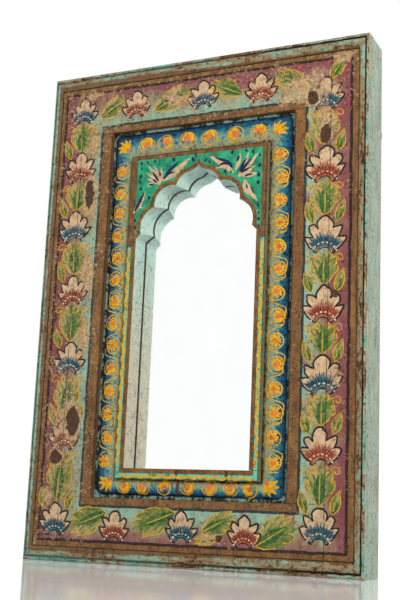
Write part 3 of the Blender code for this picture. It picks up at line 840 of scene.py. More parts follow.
@dataclass(frozen=True)
class WoodFinish(Finish):
    """Bare board: grain along one axis, a little dirt."""

    light: Colour = (178, 140, 98)
    dark: Colour = (140, 102, 66)
    stretch: Triple = (1.0, 1.0, 0.1)
    depth: float = 0.2 * MM

    def material(self) -> Material:
        """The finish as a material.

        Returns:
            The material.
        """
        made, graph, where = self.start()
        grain = graph.use(GRAIN, where, self.stretch)
        dirt = graph.noise(where, 40 * MM, 5.0, 0.6)
        colour = graph.mix(grain["Shade"], self.dark, self.light)
        graph.give("Base Color", graph.shaded(colour, dirt.step(0.3, 0.6), 0.8))
        graph.give("Normal", graph.bump(grain["Height"], self.depth, 0.7))
        graph.give("Roughness", dirt.step(0.3, 0.7, self.roughness, self.roughness - 0.12))
        return made


@dataclass(frozen=True)
class SteelFinish(Finish):
    """Zinc-plated steel, a little dull, with rust in the corners."""

    sheen: ClassVar[float] = 0.5
    steel: Colour = (196, 194, 188)
    rust: Colour = (120, 78, 50)

    def material(self) -> Material:
        """The finish as a material.

        Returns:
            The material.
        """
        made, graph, where = self.start()
        spots = graph.noise(where, 2.5 * MM, 5.0, 0.7)
        rust = spots.step(0.60, 0.68)
        graph.give("Base Color", graph.mix(rust, self.steel, self.rust))
        graph.give("Metallic", rust.step(0.0, 1.0, 1.0, 0.2))
        graph.give("Roughness", spots.step(0.3, 0.7, self.roughness, 0.6))
        graph.give("Normal", graph.bump(spots, 0.05 * MM, 0.5))
        return made


@dataclass(frozen=True)
class MirrorGlass(Finish):
    """Clear float glass, faintly green."""

    sheen: ClassVar[float] = 0.5
    tint: Colour = (251, 254, 253)

    def material(self) -> Material:
        """The finish as a material, with plain transmission.

        Returns:
            The material.
        """
        made, graph, where = self.start()
        graph.give("Transmission Weight", 1.0)
        graph.give("IOR", 1.52)
        smears = graph.noise(where, 30 * MM, 5.0, 0.6)
        graph.give("Roughness", smears.step(0.55, 0.8, 0.0, 0.03))
        graph.give("Base Color", graph.mix(smears, self.tint, (255, 255, 255)))
        return made


@dataclass(frozen=True)
class Silvering(Finish):
    """Silver behind the glass, with a few old specks towards the edge."""

    silver: Colour = (254, 254, 254)
    speck: Colour = (120, 112, 100)

    def material(self) -> Material:
        """The finish as a material.

        Returns:
            The material.
        """
        made, graph, where = self.start()
        graph.give("Metallic", 1.0)
        edge = graph.outside(
            where, Rect(OPENING.left, OPENING.right, OPENING.bottom, OPENING.top + 80 * MM)
        )
        mask = (graph.noise(where, 3 * MM, 4.0, 0.7) + edge * 2.2).step(0.66, 0.74)
        graph.give("Base Color", graph.mix(mask, self.silver, self.speck))
        graph.give("Roughness", mask.step(0.0, 1.0, self.roughness, 0.35))
        return made


@dataclass(frozen=True)
class FloorFinish(Finish):
    """Pale studio floor."""

    sheen: ClassVar[float] = 0.5
    tone: Colour = (236, 236, 236)
    second: Colour = (230, 231, 232)
    lift: float = 0.16
    mirrored_lift: float = 0.40

    def material(self) -> Material:
        """The finish as a material.

        Returns:
            The material.
        """
        made, graph, where = self.start()
        shift = graph.noise(where, 0.3, 3.0)
        graph.give("Base Color", graph.mix(shift, self.tone, self.second))
        path = graph.values(graph.node("LightPath"))
        mirrored = graph.most(path["Is Glossy Ray"], path["Is Transmission Ray"])
        glow = mirrored * self.mirrored_lift + path["Is Camera Ray"] * self.lift
        graph.give("Emission Color", graph.grey(glow))
        graph.give("Emission Strength", 1.0)
        return made


def link(name: str, data: object) -> Object:
    """Makes a new object of the scene.

    Args:
        name: Name of the object.
        data: Its mesh, lamp or camera.

    Returns:
        The object.
    """
    obj = bpy.data.objects.new(name, data)
    bpy.context.scene.collection.objects.link(obj)
    return obj


def finish_piece(
    name: str,
    shape: BMesh,
    material: Material,
    nodes: Iterable[str] = (),
    body: str = "root",
    sharp: float = 40.0,
) -> Object:
    """Turns a finished bmesh into a piece that rides on a body.

    Args:
        name: Name of the piece.
        shape: Its bmesh, in place; it is freed.
        material: Its material.
        nodes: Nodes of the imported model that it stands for.
        body: Body that it moves with.
        sharp: Angle in degrees past which an edge stays sharp.

    Returns:
        The piece.
    """
    bmesh.ops.recalc_face_normals(shape, faces=shape.faces)
    mesh = bpy.data.meshes.new(name)
    shape.to_mesh(mesh)
    shape.free()
    mesh.materials.append(material)
    mesh.shade_smooth()
    mesh.set_sharp_from_angle(angle=radians(sharp))
    piece = link(name, mesh)
    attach(piece, body)
    if nodes:
        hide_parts(*nodes)
    LOG.info("%s: %d faces", name, len(mesh.polygons))
    return piece


def loft(rings: Sequence[Sequence[Vector]]) -> BMesh:
    """A closed solid drawn through rings of as many points each, in order.

    Args:
        rings: The rings, first to last.

    Returns:
        The solid.
    """
    shape = bmesh.new()
    front = [shape.verts.new(point) for point in rings[0]]
    edges = [shape.edges.new(pair) for pair in zip(front, front[1:] + front[:1])]
    bmesh.ops.contextual_create(shape, geom=edges)
    for points in rings[1:]:
        grown = bmesh.ops.extrude_edge_only(shape, edges=edges)["geom"]
        fresh = {item for item in grown if isinstance(item, BMVert)}
        following = []
        for vertex, point in zip(front, points):
            ahead = next(e.other_vert(vertex) for e in vertex.link_edges if e.other_vert(vertex) in fresh)
            ahead.co = point
            following.append(ahead)
        front = following
        edges = [e for e in grown if isinstance(e, BMEdge) and set(e.verts) <= fresh]
    bmesh.ops.contextual_create(shape, geom=edges)
    return shape


def unevenness(place: Vector, size: float, seed: float = 0.0) -> float:
    """Unevenness from 0 to 1 at a place, with hollows of a size; the seed picks its pattern."""
    return min(1.0, max(0.0, 0.5 + 0.5 * noise.noise(place / size + Vector((seed, seed, seed)))))


def soften(shape: BMesh, edges: Sequence[BMEdge], width: float, segments: int = 2) -> None:
    """Rounds edges of a bmesh off, to a width and in some steps."""
    how = {"offset": width, "segments": segments, "profile": 0.5, "affect": "EDGES", "material": -1}
    bmesh.ops.bevel(shape, geom=edges, **how)


def board(
    node: str, arris: float, segments: int = 2, front: float | None = None, back: float | None = None
) -> BMesh:
    """A board over a node's box with softened edges.

    Args:
        node: Name of the node.
        arris: Width of the softened edges.
        segments: Steps across an edge.
        front: Y of its front, or None for the node's own.
        back: Y of its back, or None for the node's own.

    Returns:
        The board.
    """
    low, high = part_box(node)
    low.y = low.y if front is None else front
    high.y = high.y if back is None else back
    shape = bmesh.new()
    place = Matrix.Translation((low + high) / 2) @ Matrix.Diagonal((*(high - low), 1))
    bmesh.ops.create_cube(shape, size=1, matrix=place)
    soften(shape, shape.edges, arris, segments)
    return shape


@dataclass
class Casing:
    """Four mitred boards on edge, with a bead, a quirk and a thumb moulding on their front edge."""

    paint: CasingPaint = CasingPaint("casing_paint_upright", 0.42)
    level_paint: CasingPaint = CasingPaint(
        "casing_paint_level", 0.42, (0.2, 1.0, 1.0), (0.5, 1.0, 1.0), (-0.032, 0.016)
    )
    crest: float = 0.35 * MM
    bead_depth: float = 1.2 * MM
    bead_radius: float = 2.8 * MM
    quirk_cut: float = 1.3 * MM
    bead_share: float = 0.24
    quirk_shares: tuple[float, float] = (0.27, 0.35)
    crest_share: float = 0.46
    wobble: float = 0.22 * MM
    wobble_size: float = 26 * MM
    calm: float = 14.0
    front_depth: float = 6 * MM
    bead_steps: int = 8
    thumb_steps: int = 14
    run_steps: int = 48

    def section(self) -> list[Point]:
        """Section of a board.

        Returns:
            Points (share across, y) from the back of the outer face round to the back of the inner.
        """
        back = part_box("casing_left")[1].y
        points = [(0.0, back), (0.0, back * 0.5)]
        for step in range(self.bead_steps + 1):
            angle = pi / 2 * step / self.bead_steps
            share = self.bead_share * (1 - cos(angle))
            points.append((share, PANEL_FACE_Y + self.bead_depth + self.bead_radius * (1 - sin(angle))))
        start, end = self.quirk_shares
        bottom = PANEL_FACE_Y + self.bead_depth + self.quirk_cut
        points += [(start - 0.01, bottom - 0.4 * MM), (start + 0.01, bottom)]
        points += [(end - 0.01, bottom), (end, bottom - 0.3 * MM)]
        points.append((end + 0.004, PANEL_FACE_Y + self.bead_depth))
        fall = PLANK_FACE_Y - PANEL_FACE_Y - self.crest
        for step in range(self.thumb_steps + 1):
            turn = pi / 2 * step / self.thumb_steps
            share = self.crest_share + (1 - self.crest_share) * sin(turn)
            points.append((share, PANEL_FACE_Y + self.crest + fall * (1 - cos(turn))))
        points.append((1.0, back))
        return points

    def board(self, side: str) -> BMesh:
        """One mitred board.

        Args:
            side: left, right, top or bottom.

        Returns:
            Its bmesh.
        """
        upright = side in ("left", "right")
        rings = []
        for step in range(self.run_steps + 1):
            along = step / self.run_steps
            calm = min(1.0, along * self.calm, (1 - along) * self.calm)
            ring = []
            for share, y in self.section():
                edge = CASE.toward(BORDER, share)
                low, high = (edge.bottom, edge.top) if upright else (edge.left, edge.right)
                run = low + (high - low) * along
                across = getattr(edge, side)
                place = Vector((across, y, run) if upright else (run, y, across))
                front = 1.0 if y < PANEL_FACE_Y + self.front_depth and share < 1 else 0.0
                place.y += front * calm * self.wobble * unevenness(place, self.wobble_size)
                inward = self.wobble * calm * unevenness(place, self.wobble_size, 7.0) * (1 - share)
                move = inward if side in ("left", "bottom") else -inward
                place[0 if upright else 2] += move
                ring.append(place)
            rings.append(ring)
        return loft(rings)

    def build(self) -> None:
        """Builds and dresses the four boards."""
        upright, level = self.paint.material(), self.level_paint.material()
        for side in SIDES:
            node = "casing_" + side
            material = upright if side in ("left", "right") else level
            finish_piece(
                "casing_board_" + side, self.board(side), material, [node], sharp=50
            )


@dataclass
class Border:
    """Six painted planks."""

    paint: BorderPaint = BorderPaint("border_paint", 0.42)
    arris: float = 0.6 * MM

    def build(self) -> None:
        """Builds and dresses the planks."""
        material = self.paint.material()
        stiles = (f"{place}_stile_{side}" for place in ("outer", "inner") for side in ("left", "right"))
        for node in (*stiles, "rail_top", "rail_bottom"):
            shape = board(node, self.arris)
            finish_piece(node + "_plank", shape, material, [node], sharp=BOARD_EDGES)


@dataclass
class Cushion:
    """Blue half-round moulding with round outer corners, its bottom run pieced from three lengths."""

    paint: CushionPaint = CushionPaint("cushion_paint", 0.40)
    corner_radius: float = 8 * MM
    inner_radius: float = 0.8 * MM
    edge: float = 0.8 * MM
    fullness: float = 0.7
    section_steps: int = 26
    corner_steps: int = 7
    run_steps: int = 46
    wobble: float = 0.3 * MM
    wobble_size: float = 15 * MM

    def path(
        self, side: str, start: float | None = None, stop: float | None = None
    ) -> list[tuple[Point, Point]]:
        """Pairs of places on the outer and inner outline along one side.

        Args:
            side: left, right, top or bottom.
            start: Where the run is cut at its low end, or None for a corner.
            stop: Where it is cut at its high end, or None for a corner.

        Returns:
            The pairs, each as ((x, z), (x, z)).
        """
        upright = side in ("left", "right")
        sign = -1 if side in ("left", "bottom") else 1
        outlines = []
        for rect, radius in ((CUSHION, self.corner_radius), (PANEL_BED, self.inner_radius)):
            points = []
            for end, cut in ((-1, start), (1, stop)):
                if cut is not None:
                    points.append((cut, getattr(rect, side)))
                    continue
                across, up = (sign, end) if upright else (end, sign)
                x = rect.right if across > 0 else rect.left
                z = rect.top if up > 0 else rect.bottom
                turns = []
                for step in range(self.corner_steps + 1):
                    share = 0.5 * step / self.corner_steps
                    angle = pi / 2 * (share if upright else 1 - share)
                    turns.append(
                        (x - across * radius * (1 - cos(angle)), z - up * radius * (1 - sin(angle)))
                    )
                points += turns[::-1] if end < 0 else turns
            low = self.corner_steps if start is None else 0
            first, last = Vector(points[low]), Vector(points[low + 1])
            between = [first.lerp(last, step / self.run_steps) for step in range(1, self.run_steps)]
            outlines.append(points[: low + 1] + [tuple(point) for point in between] + points[low + 1 :])
        return list(zip(*outlines))

    def length(self, node: str, side: str) -> BMesh:
        """One length of the moulding.

        Args:
            node: The node that it stands for.
            side: Side of the window that it lies along.

        Returns:
            Its bmesh.
        """
        low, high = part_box(node)
        start = low.x if side == "bottom" and low.x > CUSHION.left + self.corner_radius else None
        stop = high.x if side == "bottom" and high.x < CUSHION.right - self.corner_radius else None
        back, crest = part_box("cushion_left")[1].y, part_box("cushion_left")[0].y
        rings = []
        for outer, inner in self.path(side, start, stop):
            outer_place, inner_place = Vector(outer), Vector(inner)
            ring = [Vector((outer_place.x, back, outer_place.y))]
            for step in range(self.section_steps + 1):
                share = (1 - cos(pi * step / self.section_steps)) / 2
                swell = sin(pi * share) ** self.fullness if 0 < step < self.section_steps else 0.0
                x, z = outer_place.lerp(inner_place, share)
                place = Vector((x, back - self.edge - (back - self.edge - crest) * swell, z))
                place.y += self.wobble * swell * unevenness(place, self.wobble_size)
                ring.append(place)
            ring.append(Vector((inner_place.x, back, inner_place.y)))
            rings.append(ring)
        return loft(rings)

    def build(self) -> "DrapedFace":
        """Builds and dresses the moulding.

        Returns:
            Its face, for the scrolls painted on it.
        """
        material = self.paint.material()
        runs = {"cushion_" + side: side for side in ("left", "right", "top")}
        runs.update({"cushion_bottom_" + part: "bottom" for part in ("left", "centre", "right")})
        whole = bmesh.new()
        for node, side in runs.items():
            piece = finish_piece(
                node + "_moulding", self.length(node, side), material, [node]
            )
            whole.from_mesh(piece.data)
        tree = BVHTree.FromBMesh(whole)
        whole.free()
        return DrapedFace(tree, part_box("cushion_left")[0].y + 1.5 * MM)


@dataclass
class FlatFace:
    """A flat painted face."""

    y: float

    def depth(self, x: float, z: float) -> float:
        """Y of the face at a place."""
        return self.y


@dataclass
class DrapedFace:
    """A curved painted face, found by looking at it from the front."""

    tree: BVHTree
    fallback: float

    def depth(self, x: float, z: float) -> float:
        """Y of the face at a place."""
        hit = self.tree.ray_cast(Vector((x, -0.1, z)), Vector((0, 1, 0)))[0]
        return hit.y if hit is not None else self.fallback


@dataclass
class ArchPanel:
    """Thick inner panel: a cusped head, two jambs and a sill pieced from three lengths.

    The tables hold corners of half the arch from its foot to its point: across as a share of half
    the opening, up as a share of the rise, and how far the curve to the next corner bulges, as a
    share of its chord.
    """

    paint: ArchPaint = ArchPaint("arch_paint", 0.42)
    rise: float = 86.4 * MM
    off_centre: float = 1.5 * MM
    lobe_steps: int = 22
    depth_steps: int = 8
    arris: float = 0.45 * MM
    face_gap: float = 0.4 * MM
    front_shares: Triples = (
        (1.000, 0.017, 0), (0.923, 0.087, 0.205), (0.709, 0.456, 0.264), (0.361, 0.743, 0.155),
        (0.116, 0.929, -0.05), (0.000, 1.000, 0),
    )
    back_shares: Triples = (
        (1.000, 0.035, 0), (0.862, 0.125, 0.200), (0.645, 0.510, 0.262), (0.300, 0.742, 0.160),
        (0.098, 0.920, -0.05), (0.000, 0.992, 0),
    )

    def run(self, start: Vector, end: Vector, bulge: float) -> list[Vector]:
        """Points along an arc from start up to, but not including, end.

        Args:
            start: First corner.
            end: Next corner.
            bulge: How far the arc bulges, as a share of its chord.

        Returns:
            The points.
        """
        chord = end - start
        if not bulge:
            return [start]
        outward = Vector((chord.y, -chord.x)) * bulge
        radius = chord.length * (0.25 + bulge**2) / (2 * abs(bulge))
        centre = (start + end) / 2 + outward - outward.normalized() * radius
        first = start - centre
        turn = first.angle_signed(end - centre)
        steps = self.lobe_steps
        return [centre + Matrix.Rotation(-turn * step / steps, 2) @ first for step in range(steps)]

    def half(self, shares: Triples, side: int) -> list[Vector]:
        """Half the arch from its foot to its point.

        Args:
            shares: Table of its corners.
            side: -1 for left or 1 for right.

        Returns:
            Its points as (x, z).
        """
        half_width = (OPENING.right - OPENING.left) / 2
        corners = [Vector((half_width * across, OPENING.top + self.rise * up)) for across, up, _ in shares]
        points = []
        for index, (_, _, bulge) in enumerate(shares[:-1]):
            points += self.run(corners[index], corners[index + 1], bulge)
        points.append(corners[-1])
        middle = self.off_centre
        return [Vector((side * p.x + middle * (1 - p.x / half_width), p.y)) for p in points]

    def outline(self, share: float) -> list[Vector]:
        """Outline of the head part of the way back.

        Args:
            share: 0 for the front and 1 for the back.

        Returns:
            Its points as (x, z).
        """
        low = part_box("arch_head")[0].z
        front = self.half(self.front_shares, 1)[:-1] + self.half(self.front_shares, -1)[::-1]
        back = self.half(self.back_shares, 1)[:-1] + self.half(self.back_shares, -1)[::-1]
        arch = [near.lerp(far, share) for near, far in zip(front, back)]
        feet = [Vector((x, low)) for x in (OPENING.left, PANEL.left)]
        top = [Vector((PANEL.left, PANEL.top)), Vector((PANEL.right, PANEL.top))]
        return [Vector((OPENING.right, low)), *arch, *feet, *top, Vector((PANEL.right, low))]

    def head(self) -> BMesh:
        """Builds the head, with a softened edge round its arch.

        Returns:
            The shape.
        """
        front, back = PANEL_FACE_Y + self.face_gap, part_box("arch_head")[1].y
        rings = []
        for step in range(self.depth_steps + 1):
            share = step / self.depth_steps
            y = front + (back - front) * share
            rings.append([Vector((p.x, y, p.y)) for p in self.outline(share)])
        shape = loft(rings)
        rim = [e for e in shape.edges if all(abs(v.co.y - front) < MM / 100 for v in e.verts)]
        soften(shape, rim, self.arris, 3)
        return shape

    def build(self) -> None:
        """Builds and dresses the panel."""
        material = self.paint.material()
        finish_piece(
            "arch_head_panel", self.head(), material, ["arch_head"], sharp=BOARD_EDGES
        )
        for node in ("jamb_left", "jamb_right", "sill_left", "sill_centre", "sill_right"):
            shape = board(node, self.arris, 3, PANEL_FACE_Y + self.face_gap)
            finish_piece(node + "_board", shape, material, [node], sharp=BOARD_EDGES)


@dataclass
class MirrorPlate:
    """Old mirror: a glass pane with silvering on its back."""

    glass: MirrorGlass = MirrorGlass("mirror_glass", 0.0)
    silver: Silvering = Silvering("silvering", 0.02)
    glass_share: float = 0.70
    sunk: float = 0.13 * MM
    edge: float = 0.3 * MM

    def build(self) -> None:
        """Builds and dresses the pane and its silvering."""
        low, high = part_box("mirror_glass")
        between = low.y + (high.y - low.y) * self.glass_share
        pane = board("mirror_glass", self.edge, back=between)
        silver = board("mirror_glass", self.edge, front=between - self.sunk)
        for name, shape, finish in (
            ("mirror_pane", pane, self.glass), ("mirror_silvering", silver, self.silver)
        ):
            finish_piece(
                name, shape, finish.material(), ["mirror_glass"], sharp=BOARD_EDGES
            )


@dataclass
class Back:
    """Everything behind: liners, battens, hardboard, plywood and fasteners.

    A nail or screw gives the depth of its head and the radius of its shank, as shares of the
    radius of its head.
    """

    groove: GroovePaint = GroovePaint("groove_paint", 0.5)
    upright_wood: WoodFinish = WoodFinish("batten_wood_upright", 0.62)
    level_wood: WoodFinish = WoodFinish("batten_wood_level", 0.62, stretch=(0.1, 1.0, 1.0))
    hardboard: WoodFinish = WoodFinish("hardboard", 0.55, (132, 98, 66), (108, 78, 52), (1.0, 1.0, 0.8))
    plywood: WoodFinish = WoodFinish("plywood", 0.6, (196, 160, 112), (164, 124, 80), (1.0, 1.0, 0.07))
    steel: SteelFinish = SteelFinish("zinc_steel", 0.34)
    sides: int = 20
    edge: float = 0.3 * MM
    nail: tuple[float, float] = (0.38, 0.37)
    screw: tuple[float, float] = (0.69, 0.5)

    def turned(self, node: str) -> BMesh:
        """A nail, tack or screw turned over a node's box, its domed head to the back.

        Args:
            node: Name of the node.

        Returns:
            Its bmesh.
        """
        low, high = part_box(node)
        radius = (high.x - low.x) / 2
        length = high.y - low.y
        head, slim = (radius * share for share in (self.screw if "screw" in node else self.nail))
        profile = [(0.0, 0.0), (slim, length * 0.2), (slim, length - head), (radius * 0.96, length - head)]
        for step in range(6):
            angle = pi / 2 * step / 5
            profile.append((radius * cos(angle), length - head * 0.62 * (1 - sin(angle))))
        centre = Vector(((low.x + high.x) / 2, low.y, (low.z + high.z) / 2))
        shape = bmesh.new()
        points = [shape.verts.new(centre + Vector((r, y, 0))) for r, y in profile]
        edges = [shape.edges.new(pair) for pair in zip(points, points[1:])]
        turn = {"cent": centre, "axis": (0, 1, 0), "angle": tau, "steps": self.sides}
        bmesh.ops.spin(shape, geom=points + edges, use_merge=True, **turn)
        bmesh.ops.remove_doubles(shape, verts=shape.verts, dist=MM / 1000)
        return shape

    def build(self) -> None:
        """Dresses the kept nodes and builds the fasteners."""
        dressed = {
            "liner_": self.groove.material(),
            "batten_left": self.upright_wood.material(),
            "batten_t": self.level_wood.material(),
            "mirror_backing": self.hardboard.material(),
        }
        dressed["batten_right"] = dressed["batten_left"]
        dressed["batten_b"] = dressed["batten_t"]
        for name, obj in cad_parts.items():
            for start, material in dressed.items():
                if name.startswith(start):
                    obj.data.materials.clear()
                    obj.data.materials.append(material)
        plywood = self.plywood.material()
        sheet = board("back_panel", self.edge)
        finish_piece("back_plywood", sheet, plywood, ["back_panel"], sharp=BOARD_EDGES)
        steel = self.steel.material()
        for node in sorted(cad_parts):
            if node.startswith(("back_panel_nail", "backing_tack", "hanger_screw")):
                finish_piece(node + "_turned", self.turned(node), steel, [node])


@dataclass
class Hangers:
    """Two plates that fold round a D-ring each."""

    steel: SteelFinish = SteelFinish("hanger_steel", 0.3)
    edge: float = 0.14 * MM

    def softened(self, node: str, edge: float) -> BMesh:
        """A copy of a node with its edges softened.

        Args:
            node: Name of the node.
            edge: Width of the softened edges, or 0 to leave them.

        Returns:
            Its bmesh.
        """
        shape = bmesh.new()
        shape.from_mesh(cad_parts[node].data)
        bmesh.ops.remove_doubles(shape, verts=shape.verts, dist=MM / 1000)
        if edge:
            bmesh.ops.dissolve_limit(shape, angle_limit=radians(1), verts=shape.verts, edges=shape.edges)
            rim = [e for e in shape.edges if len(e.link_faces) == 2 and e.calc_face_angle() > radians(60)]
            soften(shape, rim, edge)
        return shape

    def build(self) -> None:
        """Builds and dresses plates and rings."""
        steel = self.steel.material()
        for side in ("left", "right"):
            plate, ring = "hanger_plate_" + side, "hanger_ring_" + side
            finish_piece(plate + "_pressed", self.softened(plate, self.edge), steel, [plate])
            shape = self.softened(ring, 0.0)
            finish_piece(ring + "_wire", shape, steel, [ring], body="ring_" + side, sharp=60)


@dataclass(frozen=True)
class Lamp:
    """A large soft lamp: where it stands, the width of its face, its watts and its colour."""

    name: str
    place: Triple
    size: float
    power: float
    warmth: Colour

    def build(self) -> None:
        """Hangs the lamp, facing the object and left out of reflections."""
        data = bpy.data.lights.new(self.name, "AREA")
        data.shape = "DISK"
        data.size = self.size
        data.energy = self.power
        data.color = linear(self.warmth)[:3]
        obj = link(self.name, data)
        obj.location = self.place
        obj.visible_glossy = False
        obj.visible_transmission = False
        aim = Vector((0, 0, MIDDLE_Z)) - Vector(self.place)
        obj.rotation_euler = aim.to_track_quat("-Z", "Y").to_euler()


@dataclass
class Studio:
    """Camera where the photograph was taken from, a pale floor and soft light."""

    place: Triple = (0.5305, -1.1223, 0.0514)
    heading: float = 25.398
    rise: float = 11.616
    roll: float = 2.401
    lens: float = 64.77
    sensor: float = 36.0
    floor_size: float = 14.0
    floor: FloorFinish = FloorFinish("studio_floor", 0.07)
    fill: float = 0.33
    lamps: tuple[Lamp, ...] = (
        Lamp("key", (1.45, -1.5, 1.0), 0.9, 33, (255, 248, 236)),
        Lamp("soft", (-0.8, -1.5, 0.25), 1.2, 7, (244, 248, 255)),
        Lamp("behind", (-0.5, 1.7, 0.6), 1.2, 9, (255, 255, 255)),
    )

    def camera(self) -> None:
        """Places the camera."""
        data = bpy.data.cameras.new("camera")
        data.lens = self.lens
        data.sensor_width = self.sensor
        data.sensor_fit = "AUTO"
        data.clip_start = 0.01
        obj = link("camera", data)
        turn = Matrix.Rotation(radians(self.heading), 4, "Z")
        tilt = Matrix.Rotation(radians(90 + self.rise), 4, "X")
        roll = Matrix.Rotation(radians(self.roll), 4, "Z")
        obj.matrix_world = Matrix.Translation(self.place) @ turn @ tilt @ roll
        bpy.context.scene.camera = obj

    def world(self) -> None:
        """White to the camera and in reflections, a gentle fill on everything else."""
        made = bpy.data.worlds.new("studio")
        made.use_nodes = True
        bpy.context.scene.world = made
        graph = Graph(made.node_tree, made.node_tree.nodes["Background"])
        path = graph.values(graph.node("LightPath"))
        mirrored = graph.most(path["Is Glossy Ray"], path["Is Transmission Ray"])
        seen = graph.most(path["Is Camera Ray"], mirrored)
        graph.give("Color", (255, 255, 255))
        graph.give("Strength", seen * (1.0 - self.fill) + self.fill)

    def ground(self) -> None:
        """Lays the floor that the object stands on."""
        shape = bmesh.new()
        bmesh.ops.create_grid(shape, x_segments=4, y_segments=4, size=self.floor_size / 2)
        mesh = bpy.data.meshes.new("studio_floor")
        shape.to_mesh(mesh)
        shape.free()
        mesh.materials.append(self.floor.material())
        link("studio_floor", mesh)

    def build(self) -> None:
        """Sets up camera, light and floor."""
        self.camera()
        self.world()
        for lamp in self.lamps:
            lamp.build()
        self.ground()


class Paint(Enum):
    """Paints in the order they are laid on, each with its height over the wood in millimetres."""

    BROWN = 0.015, BrushPaint("brown_paint", 0.42, (142, 102, 52), (100, 68, 38))
    GREEN = 0.045, BrushPaint("leaf_green_paint", 0.45, (84, 120, 50), (156, 144, 86), 8 * MM, 1.03)
    PALE_GREEN = 0.09, BrushPaint("pale_green_paint", 0.45, (150, 152, 88), (188, 164, 112), 4 * MM, 1.0)
    DEEP_GREEN = 0.12, BrushPaint("deep_green_paint", 0.42, (38, 92, 44), (70, 112, 58), 5 * MM, 0.995)
    CREAM = 0.15, BrushPaint("cream_paint", 0.45, (218, 188, 152), (196, 162, 126), amount=0.97)
    RED = 0.195, BrushPaint("red_paint", 0.45, (158, 64, 44), (180, 96, 70), 5 * MM)
    BLUE = 0.203, BrushPaint("blue_paint", 0.45, (28, 84, 108), (58, 116, 132), 5 * MM)
    YELLOW = 0.235, BrushPaint("yellow_paint", 0.40, (240, 184, 20), (212, 150, 34), 4 * MM, 0.965)
    ORANGE = 0.262, BrushPaint("orange_paint", 0.40, (222, 122, 52), (216, 134, 78), 3 * MM, 0.9)
    NAVY = 0.27, BrushPaint("navy_paint", 0.38, (24, 34, 82), (16, 24, 48), 4 * MM, 0.9)
    BLACK = 0.285, BrushPaint("black_paint", 0.45, (24, 20, 20), (40, 32, 30), 4 * MM, 0.965)
    LIGHT = 0.315, BrushPaint("light_cream_paint", 0.42, (240, 224, 192), (222, 200, 166), 3 * MM, 0.96)

    def __init__(self, height: float, finish: BrushPaint) -> None:
        """Keeps the height, in metres, and the finish."""
        self.height, self.finish = height * MM, finish


PAINT_FILM = 0.05 * MM
PAINT_RELIEF = 0.08
LAYERS = 12
LAYER_FILM = 0.003 * MM
LAYER_STEP = 0.1


def smooth(points: Sequence[Point], steps: int = 5) -> list[Vector]:
    """A smooth curve through drawn points.

    Args:
        points: The points.
        steps: Steps from one to the next.

    Returns:
        Points along the curve, both ends included.
    """
    known = [Vector(point) for point in points]
    padded = [known[0] * 2 - known[1], *known, known[-1] * 2 - known[-2]]
    made = []
    for before, start, end, after in zip(padded, padded[1:], padded[2:], padded[3:]):
        for step in range(steps):
            t = step / steps
            bend = (end - before) * t + (before * 2 - start * 5 + end * 4 - after) * t**2
            made.append((start * 2 + bend + (start * 3 - before - end * 3 + after) * t**3) / 2)
    return [*made, known[-1]]


def polar(middle: Point, reach: float, angle: float, tall: float = 1.0) -> Point:
    """The place at a reach and angle from a middle, its rise scaled by tall."""
    return middle[0] + reach * cos(angle), middle[1] + reach * tall * sin(angle)


def width_along(widths: Triple, share: float) -> float:
    """Half width at a place along a stroke.

    Args:
        widths: Half widths at start, middle and end.
        share: Place along the stroke, from 0 to 1.

    Returns:
        The half width.
    """
    start, middle, end = widths
    bend = 2 * middle - (start + end) / 2
    return (1 - share) ** 2 * start + 2 * share * (1 - share) * bend + share**2 * end


@dataclass(frozen=True)
class Spot:
    """Where a motif stands: its foot in millimetres, its turn in degrees, its size and side."""

    x: float
    z: float
    turn: float = 0.0
    size: float = 1.0
    side: int = 1

    def at(self, u: float, v: float) -> Point:
        """Brings a place of the motif onto the wood.

        Args:
            u: Millimetres to the right of its foot.
            v: Millimetres above its foot.

        Returns:
            The place on the wood in millimetres.
        """
        angle = radians(self.turn)
        u, v = u * self.side * self.size, v * self.size
        return self.x + u * cos(angle) - v * sin(angle), self.z + u * sin(angle) + v * cos(angle)

    @staticmethod
    def toward(foot: Point, tip: Point) -> tuple["Spot", float]:
        """A spot at a foot, turned towards a tip, and the length between them."""
        along = Vector(tip) - Vector(foot)
        return Spot(*foot, turn=degrees(atan2(-along.x, along.y))), along.length

    def all(self, points: Iterable[Point]) -> list[Point]:
        """Several places of the motif on the wood."""
        return [self.at(u, v) for u, v in points]


